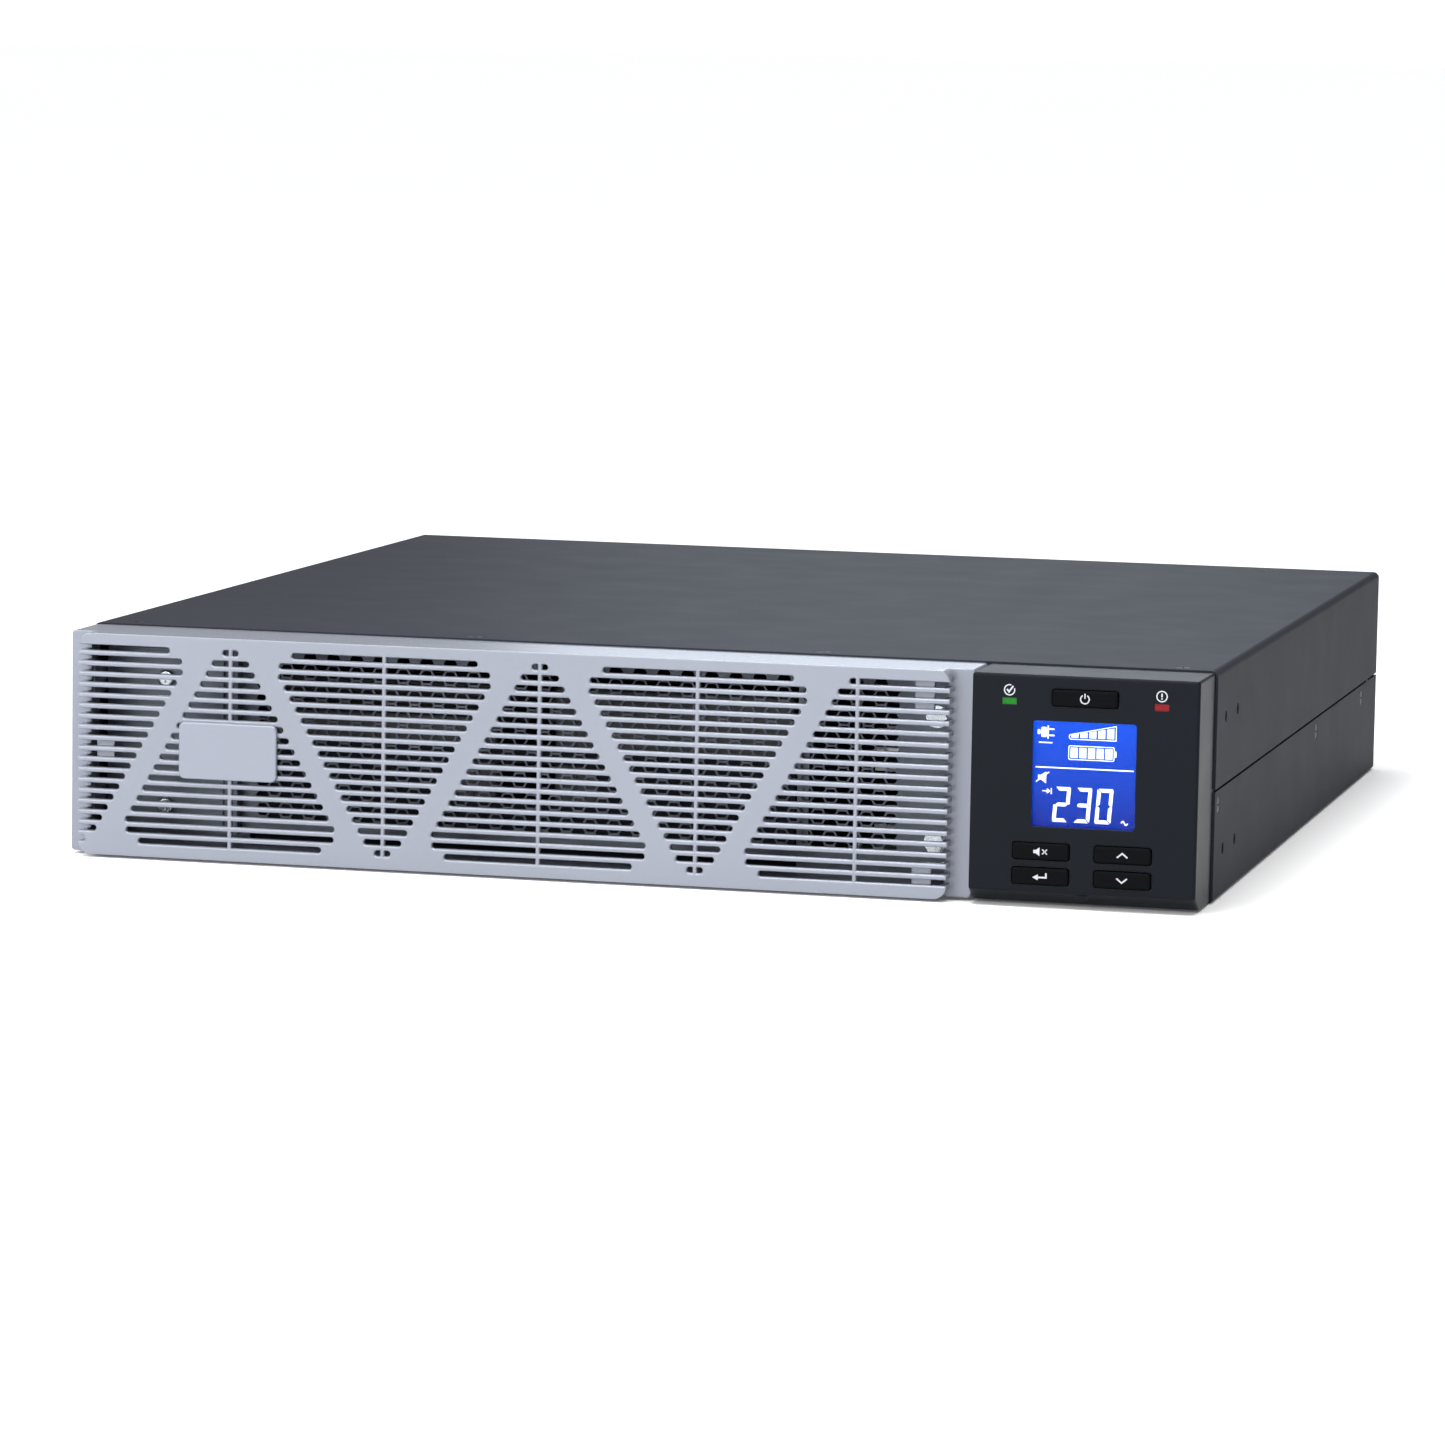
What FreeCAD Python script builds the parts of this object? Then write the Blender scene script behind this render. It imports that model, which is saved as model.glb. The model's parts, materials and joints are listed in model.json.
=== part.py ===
import FreeCAD, Part
import math
import os
from FreeCAD import Vector

# A rack-mount uninterruptible power supply, two rack units high, in millimetres.
# +X is to the right seen from the front, +Y runs to the rear, +Z is up.
# The origin is the middle of the steel case's underside.

# ---------------------------------------------------------------- driving dimensions
CASE_WIDTH = 438.0
CASE_HEIGHT = 86.5
CASE_DEPTH = 425.0
SHEET = 1.2                    # thickness of the case's sheet steel

HALF = CASE_WIDTH / 2
FRONT = -CASE_DEPTH / 2        # front edge of the steel case
REAR = CASE_DEPTH / 2          # outer face of the rear panel
WALL_X = HALF - SHEET          # inner plane of the side walls
FLOOR_Z = SHEET
ROOF_Z = CASE_HEIGHT - SHEET
FIT = 0.1                      # gap between pieces that are screwed together

SEAM_LOW = 41.5                # top of the chassis walls
SEAM_HIGH = 42.4               # lower edge of the cover's walls
LIP = (29.0, 54.0)             # height range of the cover's inner lips

EAR_HOLE_R = 2.25              # rack ear holes, four on each side
EAR_FIRST_Y = FRONT + 19.7
EAR_STEP_Y = 27.0
EAR_LOW_Z = 18.2
EAR_STEP_Z = 49.4

SIDE_SCREW_Y = (FRONT + 7.1, FRONT + 250.0, FRONT + 380.0)
SIDE_SCREW_Z = 36.0
TOP_SCREW_X = (-204.5, -68.2, 68.2, 204.5)
TOP_SCREW_Y = FRONT + 7.4
BODY_BOTTOM = 1.0              # lower edge of the bezel and of the display panel
BODY_TOP = 85.8                # their upper edge

# flanges, bulkhead and battery door
REAR_FLANGE = (REAR - 3.6, REAR - 2.4)
REAR_SCREW_X = 210.0
REAR_SCREW_Z = (12.0, 31.0, 58.5, 75.0)
BULKHEAD = (FRONT + 9.0, FRONT + 10.2)
BULKHEAD_X = 216.2
FLANGE_Y = FRONT + 1.0
POST_Y = FRONT + 2.4           # face of the folded posts that carry the door's screws
DOOR_FLANGE = (FRONT + 1.3, FRONT + 2.3)
DOOR_X = (-162.0, 105.0)       # the recessed part of the battery door
DOOR_Z = (6.5, 80.0)
DOOR_SCREWS = (113.7, (64.7, 17.7))
COVER_SCREWS = (-189.2, (66.1, 16.6))
LEAD_SLOT = (-210.0, -164.0, 48.0, 76.0)

# louvred bezel
BEZEL_LEFT = -HALF
BEZEL_RIGHT = 132.7
BEZEL_BASE_Y = FRONT - 24.0
BEZEL_FACE_Y = FRONT - 32.0
GRILLE_LEFT = -213.5
GRILLE_RIGHT = 125.0
BEZEL_WALL = 2.4
LOUVRE_ROWS = 19
LOUVRE_PITCH = 4.07
LOUVRE_TOP_Z = 80.33
LOUVRE_HEIGHT = 2.16
RIB_FIRST_X = -152.85
RIB_STEP = 60.79
RIB_COUNT = 5
RIB_WIDTH = 1.55
SLOT_WIDEST = 41.7             # half width of a triangle's widest row
SLOT_SHRINK = 2.29             # how much narrower each further row is
SLOT_BEVEL = 0.45              # bevel round the mouth of each slot
BADGE = (-172.6, -133.8, 32.0, 53.7)
BADGE_THICK = 1.7

# display panel
PANEL = (133.6, 218.0)
PANEL_FACE_Y = FRONT - 33.0
PANEL_WALL = 2.2
PANEL_X = 175.7                # middle of the display and keys
CHAMFER_Z = 5.0
CHAMFER_Y = 8.0
DISPLAY = (38.4, 39.0, 49.6)   # window width, height and centre height
LIGHT_DX = 28.2
LIGHT_Z = 75.8
LIGHT_SIZE = (5.4, 2.4)
POWER_KEY = (24.4, 6.0, 77.8)
KEY = (21.1, 6.1)
KEY_DX = 15.2
KEY_Z = (20.95, 11.8)
KEY_PROUD = 1.0
KEY_GAP = 0.35
KEY_TRAVEL = 1.2
PANEL_BOARD_Y = FRONT - 21.6
KEYS = {
    "power_button": (PANEL_X, POWER_KEY[2], POWER_KEY[0], POWER_KEY[1]),
    "mute_button": (PANEL_X - KEY_DX, KEY_Z[0], *KEY),
    "enter_button": (PANEL_X - KEY_DX, KEY_Z[1], *KEY),
    "up_button": (PANEL_X + KEY_DX, KEY_Z[0], *KEY),
    "down_button": (PANEL_X + KEY_DX, KEY_Z[1], *KEY),
}
BOSSES = ((PANEL_X - 37.0, 43.0), (PANEL_X + 37.0, 43.0), (PANEL_X, 5.6))
LCD_PINS = 13
LCD_PIN_STEP = 2.5

# battery bay
DOOR_Y = FRONT + 7.0
HEX_PITCH = 5.4
HEX_ACROSS = 4.7
HEX_FIRST = (-152.6, 75.5)     # the first hole of the upper left corner
HEX_COLUMNS = 54
HEX_ROWS = 12
BATTERY = (94.0, 151.0, 65.0)
TRAY = (-157.0, 57.0)
TRAY_FRONT = FRONT + 12.5
TRAY_REAR = FRONT + 325.0
LEFT_BATTERY_X = -155.4
RIGHT_BATTERY_X = -38.6
BATTERY_ROW_Y = (FRONT + 16.0, FRONT + 170.0)
BATTERY_Z = SHEET + 1.4          # on the tray's floor
TERMINAL_Z = 56.0
TERMINAL_DY = 55.0
LINK_LEFT = LEFT_BATTERY_X + BATTERY[0]      # terminal face of the left batteries
LINK_RIGHT = RIGHT_BATTERY_X                 # terminal face of the right batteries
LEAD_R = 2.2
LEAD_Y = FRONT + 13.2
LEAD_Z = (57.0, 64.2)
PLUG = (-184.0, -164.5)
SOCKET = (-208.0, -184.0)
CONNECTOR_Y = (BULKHEAD[1] + 0.4, BULKHEAD[1] + 14.4)
CONNECTOR_Z = (52.0, 70.0)
DIVIDER_X = (59.5, 60.7)
DIVIDER_Y = (FRONT + 327.0, FRONT + 328.2)

# electronics
BOARD = (74.0, 213.0, FRONT + 20.0, FRONT + 338.0)
BOARD_Z = 9.0
BOARD_TOP = BOARD_Z + 1.6
STANDOFF_X = (79.0, 208.0)
STANDOFF_Y = (FRONT + 27.0, FRONT + 180.0, FRONT + 331.0)
SINK_X = (193.0, 94.0)         # transistor faces of the two heatsinks
FIN_STEP = 7.4
CHOKE_X = 163.0
CHOKE_Y = (FRONT + 92.0, FRONT + 148.0)
CHOKE_Z = BOARD_TOP + 10.2
CHOKE_RING = 14.5
CHOKE_SECTION = 6.6
CHOKE_TURNS = 20

# rear
FAN_SIZE = 80.0
FAN_DEPTH = 25.0
FAN_X = 163.0
FAN_Z = 43.25
FAN_HOLE = 71.5 / 2
FAN_Y = REAR - SHEET - FIT - FAN_DEPTH
FAN_BORE = 38.0
FAN_BLADES = 7
HUB_R = 17.0
OUTLET_X = (-132.0, -97.0, -62.0)
OUTLET_Z = (62.5, 27.5)
INLET_X = -178.0
INLET_Z = 62.0
BREAKER_Z = 24.0
GROUND_X = -156.0
SLOT_X = 5.0
SLOT_Z = 45.0
PORT_X = 72.0
USB_Z = 66.0
SERIAL_Z = 43.0
STOP_Z = 20.0


# ---------------------------------------------------------------- shape helpers
def box(x0, x1, y0, y1, z0, z1):
    return Part.makeBox(x1 - x0, y1 - y0, z1 - z0, Vector(x0, y0, z0))


def rod(radius, length, start, axis):
    return Part.makeCylinder(radius, length, Vector(*start), Vector(*axis))


def rounded(shape, radius, axis):
    """The box with its four edges along an axis rounded."""
    edges = [e for e in shape.Edges if abs(abs((e.Vertexes[1].Point - e.Vertexes[0].Point)
                                               .normalize().dot(Vector(*axis))) - 1) < 1e-6]
    return shape.makeFillet(radius, edges)


def plate_y(x0, x1, z0, z1, y0, y1, radius):
    """A plate facing the front, with rounded corners."""
    return rounded(box(x0, x1, y0, y1, z0, z1), radius, (0, 1, 0))


def centred_y(x, z, width, height, y0, y1, radius):
    return plate_y(x - width / 2, x + width / 2, z - height / 2, z + height / 2, y0, y1, radius)


def span(a, b, y0, y1, z0, z1):
    """A box between two X values given in either order."""
    return box(min(a, b), max(a, b), y0, y1, z0, z1)


def edges_where(shape, test):
    """The straight edges whose two ends pass a test on their points."""
    return [e for e in shape.Edges
            if len(e.Vertexes) == 2 and test(e.Vertexes[0].Point, e.Vertexes[1].Point)]


def placed(shape, point, direction):
    """A shape made along +Z at the origin, turned to a direction and moved to a point."""
    shape.Placement = FreeCAD.Placement(Vector(*point), FreeCAD.Rotation(Vector(0, 0, 1), Vector(*direction)))
    return shape


def cable(points, radius, bends):
    """A round lead along straight runs joined by tangent arcs, one bend radius for each inner point."""
    points = [Vector(*p) for p in points]
    edges = []
    start = points[0]
    for before, corner, after, bend in zip(points, points[1:], points[2:], bends):
        come = (corner - before).normalize()
        leave = (after - corner).normalize()
        turn = come.getAngle(leave)
        reach = bend * math.tan(turn / 2)
        arc_start = corner - come * reach
        arc_end = corner + leave * reach
        inward = (leave - come).normalize()
        middle = corner + inward * (bend / math.cos(turn / 2) - bend)
        edges.append(Part.LineSegment(start, arc_start).toShape())
        edges.append(Part.Arc(arc_start, middle, arc_end).toShape())
        start = arc_end
    edges.append(Part.LineSegment(start, points[-1]).toShape())
    section = Part.Wire([Part.Circle(points[0], points[1] - points[0], radius).toShape()])
    return Part.Wire(edges).makePipeShell([section], True, True)


def save(name, shapes):
    """Writes one sub-part, which is one solid or a group of separate solids."""
    shapes = shapes if isinstance(shapes, list) else [shapes]
    solids = [solid for shape in shapes for solid in shape.Solids]
    shape = solids[0] if len(solids) == 1 else Part.makeCompound(solids)
    shape.exportStep("parts/" + name + ".step")


# ---------------------------------------------------------------- fasteners
def cross_recess(size, depth):
    slot = box(-size / 2, size / 2, -0.35, 0.35, -depth, 0.2)
    return slot.fuse(box(-0.35, 0.35, -size / 2, size / 2, -depth, 0.2))


def countersunk_screw(point, outward, length):
    head = Part.makeCone(1.6, 3.0, 1.2, Vector(0, 0, -1.3), Vector(0, 0, 1))
    shank = rod(1.4, length, (0, 0, -length), (0, 0, 1)).common(box(-2, 2, -2, 2, -length, -1.2))
    return placed(head.fuse(shank).cut(cross_recess(3.0, 0.9)), point, outward)


def countersink(point, outward):
    """The conical seat and clearance hole of a countersunk screw."""
    seat = Part.makeCone(1.75, 3.3, 1.3, Vector(0, 0, -1.3), Vector(0, 0, 1))
    return placed(seat.fuse(rod(1.6, 8.0, (0, 0, -8), (0, 0, 1))), point, outward)


def pan_screw(point, outward, head_r=2.8, head_h=2.1, length=6.0, shank_r=1.4):
    head = rod(head_r, head_h, (0, 0, 0), (0, 0, 1))
    head = head.makeFillet(head_h * 0.45, [e for e in head.Edges if e.BoundBox.ZMin > head_h - 0.01])
    recess = cross_recess(head_r * 1.15, 1.0)
    recess.translate(Vector(0, 0, head_h))
    body = head.fuse(rod(shank_r, length + 0.5, (0, 0, -length), (0, 0, 1)))
    return placed(body.cut(recess), point, outward)


def hex_solid(across, height):
    radius = across / math.sqrt(3)
    corners = [Vector(radius * math.cos(math.radians(60 * k)), radius * math.sin(math.radians(60 * k)), 0)
               for k in range(7)]
    return Part.Face(Part.makePolygon(corners)).extrude(Vector(0, 0, height))


def hex_screw(point, outward, across=7.0, washer_r=4.2):
    washer = rod(washer_r, 0.8, (0, 0, 0), (0, 0, 1))
    head = hex_solid(across, 3.2)
    body = washer.fuse([head, rod(1.5, 6.5, (0, 0, -6), (0, 0, 1))])
    return placed(body, point, outward)


# ---------------------------------------------------------------- steel case
def ear_points(low, high):
    """Rack ear hole positions on both sides, as (side, y, z)."""
    heights = [z for z, wanted in ((EAR_LOW_Z, low), (EAR_LOW_Z + EAR_STEP_Z, high)) if wanted]
    return [(side, EAR_FIRST_Y + EAR_STEP_Y * k, z) for side in (-1, 1) for k in (0, 1) for z in heights]


def ear_holes(low, high):
    return [rod(EAR_HOLE_R, 6.0, (side * (HALF - 3), y, z), (side, 0, 0))
            for side, y, z in ear_points(low, high)]


def rear_flange(side, z0, z1):
    flange = span(side * WALL_X, side * 203.0, *REAR_FLANGE, z0, z1)
    return flange.cut([rod(1.5, 6, (side * REAR_SCREW_X, REAR - 5, z), (0, 1, 0)) for z in REAR_SCREW_Z])


def chassis_base():
    outer = box(-HALF, HALF, FRONT, REAR, 0, SEAM_LOW)
    low = edges_where(outer, lambda a, b: abs(a.z) < 1e-6 and abs(b.z) < 1e-6 and abs(a.x - b.x) < 1e-6)
    outer = outer.makeFillet(1.8, low)
    tray = outer.cut(box(-WALL_X, WALL_X, FRONT - 1, REAR + 1, FLOOR_Z, SEAM_LOW + 1))
    bridges = [span(side * HALF, side * WALL_X, FRONT + 394, FRONT + 399, SEAM_LOW, SEAM_HIGH - FIT)
               for side in (-1, 1)]
    flanges = [rear_flange(side, FLOOR_Z, SEAM_LOW - 0.5) for side in (-1, 1)]
    seats = [countersink((side * HALF, y, SIDE_SCREW_Z), (side, 0, 0))
             for side in (-1, 1) for y in SIDE_SCREW_Y]
    return tray.fuse(bridges + flanges).cut(seats + ear_holes(True, False))


def top_cover():
    outer = box(-HALF, HALF, FRONT, REAR, SEAM_HIGH, CASE_HEIGHT)
    top = edges_where(outer, lambda a, b: a.z > CASE_HEIGHT - 1 and b.z > CASE_HEIGHT - 1
                      and abs(a.x - b.x) < 1e-6)
    outer = outer.makeFillet(2.5, top)
    shell = outer.cut(box(-WALL_X, WALL_X, FRONT - 1, REAR + 1, SEAM_HIGH - 1, ROOF_Z))
    lips = [span(side * WALL_X, side * (WALL_X - SHEET), FRONT + 2, REAR - 4, *LIP) for side in (-1, 1)]
    flanges = [rear_flange(side, LIP[1] + 0.5, ROOF_Z) for side in (-1, 1)]
    seats = [countersink((x, TOP_SCREW_Y, CASE_HEIGHT), (0, 0, 1)) for x in TOP_SCREW_X]
    pilots = [rod(1.8, 6, (side * (HALF - 4), y, SIDE_SCREW_Z), (side, 0, 0))
              for side in (-1, 1) for y in SIDE_SCREW_Y]
    return shell.fuse(lips + flanges).cut(seats + pilots + ear_holes(False, True))


def case_screws():
    """Countersunk screws of the cover: four on top and three on each side."""
    top = [countersunk_screw((x, TOP_SCREW_Y, CASE_HEIGHT), (0, 0, 1), 5.0) for x in TOP_SCREW_X]
    return top + [countersunk_screw((side * HALF, y, SIDE_SCREW_Z), (side, 0, 0), 5.0)
                  for side in (-1, 1) for y in SIDE_SCREW_Y]


def ear_nuts():
    """Clinch nuts behind the rack ear holes."""
    nuts = []
    for side, y, z in ear_points(True, True):
        bore = rod(EAR_HOLE_R, 5.0, (side * (WALL_X - 4), y, z), (side, 0, 0))
        nuts.append(rod(4.2, 3.0, (side * (WALL_X - 3), y, z), (side, 0, 0)).cut(bore))
    return nuts


# ---------------------------------------------------------------- front bulkhead and battery door
def hat(x0, x1, z0, z1):
    """A folded post that carries a screwed flange in front of the bulkhead."""
    face = box(x0, x1, POST_Y, POST_Y + SHEET, z0, z1)
    sides = [box(x, x + SHEET, POST_Y + SHEET, BULKHEAD[0], z0, z1) for x in (x0, x1 - SHEET)]
    return face.fuse(sides)


def front_bulkhead():
    z0, z1 = FLOOR_Z + 0.2, ROOF_Z - 0.2
    plate = box(-BULKHEAD_X, BULKHEAD_X, *BULKHEAD, z0, z1)
    flanges = [box(-BULKHEAD_X, BULKHEAD_X, FLANGE_Y, BULKHEAD[0], z, z + SHEET)
               for z in (z0, z1 - SHEET)]
    posts = [hat(-199.0, -179.0, 9.0, 77.0), hat(107.0, 127.0, 9.0, 77.0)]
    openings = [
        box(TRAY[0] - 1.5, TRAY[1] + 1.5, FRONT, FRONT + 12, 0, 80.0),      # the battery tray
        box(LEAD_SLOT[0], LEAD_SLOT[1], FRONT + 8, FRONT + 12, *LEAD_SLOT[2:]),
        box(63.0, 102.0, FRONT + 8, FRONT + 12, 9.0, 78.0),                 # air to the electronics
        box(150.0, 202.0, FRONT + 8, FRONT + 12, 36.0, 66.0),               # ribbon to the display
    ]
    holes = [rod(1.6, 10, (x, FRONT, z), (0, 1, 0))
             for x, heights in (DOOR_SCREWS, COVER_SCREWS) for z in heights]
    top_holes = [rod(1.5, 10, (x, TOP_SCREW_Y, ROOF_Z - 5), (0, 0, 1)) for x in TOP_SCREW_X]
    return plate.fuse(flanges + posts).cut(openings + holes + top_holes)


def hex_wire(x, z, y):
    radius = HEX_ACROSS / math.sqrt(3)
    angles = [math.radians(60 * k) for k in range(7)]
    return Part.makePolygon([Vector(x + radius * math.cos(a), y, z + radius * math.sin(a)) for a in angles])


def battery_door():
    """Recessed plate with hexagonal holes, folded forward to a screwed flange on each side."""
    left, right = DOOR_X
    low, high = DOOR_Z
    column_step = HEX_PITCH * math.sqrt(3) / 2
    vents = []
    for column in range(HEX_COLUMNS):
        x = HEX_FIRST[0] + column_step * column
        top = HEX_FIRST[1] - (HEX_PITCH / 2 if column % 2 else 0)
        vents += [hex_wire(x, top - HEX_PITCH * row, DOOR_Y) for row in range(HEX_ROWS)]
    outline = Part.makePolygon([Vector(x, DOOR_Y, z) for x, z in
                                ((left, low), (right, low), (right, high), (left, high), (left, low))])
    plate = Part.makeFace([outline] + vents, "Part::FaceMakerBullseye").extrude(Vector(0, 1.0, 0))
    folds = [box(x, x + 1.0, DOOR_FLANGE[0], DOOR_Y, low, high) for x in (left, right - 1.0)]
    flanges = [box(right, 127.5, *DOOR_FLANGE, low, high), box(left - 8.0, left, *DOOR_FLANGE, low, high)]
    screw_holes = [rod(1.7, 4, (DOOR_SCREWS[0], FRONT, z), (0, 1, 0)) for z in DOOR_SCREWS[1]]
    return plate.fuse(folds + flanges).cut(screw_holes)


def connector_cover():
    plate = plate_y(-213.4, -166.4, 8.5, 77.5, FRONT + 0.2, FRONT + 1.2, 1.0)
    return plate.cut([rod(1.7, 4, (COVER_SCREWS[0], FRONT - 1, z), (0, 1, 0)) for z in COVER_SCREWS[1]])


def cover_screws():
    return [pan_screw((COVER_SCREWS[0], FRONT + 0.2, z), (0, -1, 0), 3.3, 2.2) for z in COVER_SCREWS[1]]


# ---------------------------------------------------------------- louvred bezel
def slot_outline(x0, x1, z, height, round_left, round_right, y):
    radius = height / 2
    left = x0 + (radius if round_left else 0)
    right = x1 - (radius if round_right else 0)
    low_left, low_right = Vector(left, y, z - radius), Vector(right, y, z - radius)
    high_left, high_right = Vector(left, y, z + radius), Vector(right, y, z + radius)
    sides = [Part.LineSegment(low_left, low_right).toShape(),
             Part.LineSegment(high_right, high_left).toShape()]
    if round_right:
        sides.append(Part.Arc(low_right, Vector(x1, y, z), high_right).toShape())
    else:
        sides.append(Part.LineSegment(low_right, high_right).toShape())
    if round_left:
        sides.append(Part.Arc(high_left, Vector(x0, y, z), low_left).toShape())
    else:
        sides.append(Part.LineSegment(high_left, low_left).toShape())
    return Part.Wire(Part.__sortEdges__(sides))


def slot_tools(x0, x1, z, round_left, round_right):
    """A slot through the bezel's face, and the small bevel round its mouth."""
    bevel = SLOT_BEVEL
    through = Part.Face(slot_outline(x0, x1, z, LOUVRE_HEIGHT, round_left, round_right,
                                     BEZEL_FACE_Y - 0.5))
    mouth = slot_outline(x0 - bevel, x1 + bevel, z, LOUVRE_HEIGHT + 2 * bevel, round_left, round_right,
                         BEZEL_FACE_Y - 0.01)
    neck = slot_outline(x0, x1, z, LOUVRE_HEIGHT, round_left, round_right, BEZEL_FACE_Y + bevel)
    return [through.extrude(Vector(0, BEZEL_WALL + 1.0, 0)), Part.makeLoft([mouth, neck], True, True)]


def triangle_half_width(row):
    """Half width of a row of a triangle that points down, its corners rounded off."""
    blunted = {0: SLOT_WIDEST - 5.2, 1: SLOT_WIDEST - 0.3, LOUVRE_ROWS - 1: 3.1}
    return blunted.get(row, SLOT_WIDEST - SLOT_SHRINK * (row - 2))


def louvre_tools():
    tools = []
    for row in range(LOUVRE_ROWS):
        z = LOUVRE_TOP_Z - LOUVRE_PITCH * row
        down, up = triangle_half_width(row), triangle_half_width(LOUVRE_ROWS - 1 - row)
        tools += slot_tools(GRILLE_LEFT - 2.0, RIB_FIRST_X - RIB_STEP + down, z, False, True)
        for k in range(RIB_COUNT):
            rib_x = RIB_FIRST_X + RIB_STEP * k
            half = down if k % 2 else up
            tools += slot_tools(rib_x - half, rib_x - RIB_WIDTH / 2, z, True, False)
            last = k == RIB_COUNT - 1
            right_end = GRILLE_RIGHT + 2.0 if last else rib_x + half
            tools += slot_tools(rib_x + RIB_WIDTH / 2, right_end, z, False, not last)
        for x, depth in ((GRILLE_LEFT, BEZEL_WALL), (GRILLE_RIGHT, -BEZEL_WALL)):
            outside = x - math.copysign(1.0, depth)
            tools.append(span(outside, x + depth, BEZEL_FACE_Y - 1, BEZEL_BASE_Y,
                              z - LOUVRE_HEIGHT / 2, z + LOUVRE_HEIGHT / 2))
    return tools


def front_bezel():
    base = plate_y(BEZEL_LEFT, BEZEL_RIGHT, BODY_BOTTOM, BODY_TOP, BEZEL_BASE_Y, FRONT, 1.5)
    raised = plate_y(GRILLE_LEFT, GRILLE_RIGHT, BODY_BOTTOM, BODY_TOP, BEZEL_FACE_Y, BEZEL_BASE_Y + 1, 4.8)
    w = BEZEL_WALL
    hollow = box(BEZEL_LEFT + w, BEZEL_RIGHT - w, BEZEL_BASE_Y + w, FRONT + 1,
                 BODY_BOTTOM + w, BODY_TOP - w)
    raised_hollow = plate_y(GRILLE_LEFT + w, GRILLE_RIGHT - w, BODY_BOTTOM + w, BODY_TOP - w,
                            BEZEL_FACE_Y + w, BEZEL_BASE_Y + w + 0.5, 2.4)
    shell = base.fuse(raised).cut([hollow, raised_hollow])
    tab_y = (BEZEL_FACE_Y + w - 0.5, BEZEL_FACE_Y + w + 2.0)
    tabs = [box(111.5, 118.8, *tab_y, 70.0, BODY_TOP - w), box(111.5, 118.8, *tab_y, BODY_BOTTOM + w, 13.9),
            box(-206.9, -200.0, *tab_y, 36.5, 46.6)]
    tongues = []
    for x in (BEZEL_LEFT + 3.2, BEZEL_RIGHT - 4.0):
        wall = BEZEL_LEFT + 1 if x < 0 else BEZEL_RIGHT - 1
        for z in (14.0, 60.0):
            tongues.append(box(x, x + 1.5, FRONT - 12, FRONT + 6.5, z, z + 12))
            tongues.append(span(x, wall, FRONT - 12, FRONT - 10.5, z, z + 12))
    return shell.fuse(tabs + tongues).cut(louvre_tools())


def badge_plate():
    x0, x1, z0, z1 = BADGE
    plate = plate_y(x0, x1, z0, z1, BEZEL_FACE_Y - BADGE_THICK, BEZEL_FACE_Y, 2.3)
    rim = edges_where(plate, lambda a, b: a.y < BEZEL_FACE_Y - 1 and b.y < BEZEL_FACE_Y - 1)
    return plate.makeFillet(0.5, rim)


# ---------------------------------------------------------------- display panel
def panel_profile(inset):
    """Side outline of the housing with its chamfered lower front edge, moved inwards by inset."""
    face, low, high = PANEL_FACE_Y + inset, BODY_BOTTOM + inset, BODY_TOP - inset
    back = FRONT + (1.0 if inset else 0.0)
    points = [(back, low), (face + CHAMFER_Y, low), (face, low + CHAMFER_Z), (face, high), (back, high)]
    return [Vector(PANEL[0] + inset, y, z) for y, z in points + points[:1]]


def panel_solid(inset):
    width = PANEL[1] - PANEL[0] - 2 * inset
    return Part.Face(Part.makePolygon(panel_profile(inset))).extrude(Vector(width, 0, 0))


def panel_housing():
    outer = panel_solid(0)
    front = PANEL_FACE_Y + CHAMFER_Y + 0.1
    outer = outer.makeFillet(1.0, edges_where(outer, lambda a, b: (a.y < front and b.y < front)
                                              or (a.z > BODY_TOP - 1 and b.z > BODY_TOP - 1 and a.x == b.x)))
    inner = panel_solid(PANEL_WALL)
    inside_y = PANEL_FACE_Y + PANEL_WALL
    width, height, z = DISPLAY
    openings = [centred_y(PANEL_X, z, width, height, PANEL_FACE_Y - 1, inside_y + 1, 1.2),
                centred_y(PANEL_X, z, width + 4, height + 4, PANEL_FACE_Y + 1.0, inside_y + 1, 1.5)]
    for x, key_z, key_w, key_h in KEYS.values():
        openings.append(centred_y(x, key_z, key_w + 2 * KEY_GAP, key_h + 2 * KEY_GAP,
                                  PANEL_FACE_Y - 1, inside_y + 1, 1.3))
    for side in (-1, 1):
        openings.append(centred_y(PANEL_X + side * LIGHT_DX, LIGHT_Z, *LIGHT_SIZE,
                                  PANEL_FACE_Y - 1, inside_y + 1, 0.3))
    posts = [rod(2.6, PANEL_BOARD_Y - inside_y + 0.2, (x, inside_y - 0.2, z), (0, 1, 0)) for x, z in BOSSES]
    screw_holes = [rod(1.3, 6, (x, PANEL_BOARD_Y - 5.9, z), (0, 1, 0)) for x, z in BOSSES]
    return outer.cut([inner] + openings).fuse(posts).cut(screw_holes)


def lcd_pins(radius, y, length):
    """A row of pins, or of the holes for them, along the lower edge of the display."""
    first_x = PANEL_X - LCD_PIN_STEP * (LCD_PINS - 1) / 2
    return [rod(radius, length, (first_x + LCD_PIN_STEP * k, y, DISPLAY[2] - 18), (0, 1, 0))
            for k in range(LCD_PINS)]


def lcd_window():
    width, height, z = DISPLAY
    return centred_y(PANEL_X, z, width + 3.8, height + 3.8,
                     PANEL_FACE_Y + 1.0, PANEL_FACE_Y + 2.0, 1.4)


def lcd_module():
    width, height, z = DISPLAY
    glass = centred_y(PANEL_X, z, width + 4, height + 4, PANEL_FACE_Y + 2.3, PANEL_FACE_Y + 5.0, 0.5)
    carrier = centred_y(PANEL_X, z, width + 6, height + 5, PANEL_FACE_Y + 5.0, PANEL_BOARD_Y - 2.0, 1.0)
    return glass.fuse([carrier] + lcd_pins(0.3, PANEL_BOARD_Y - 3.0, 3.2))


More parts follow.
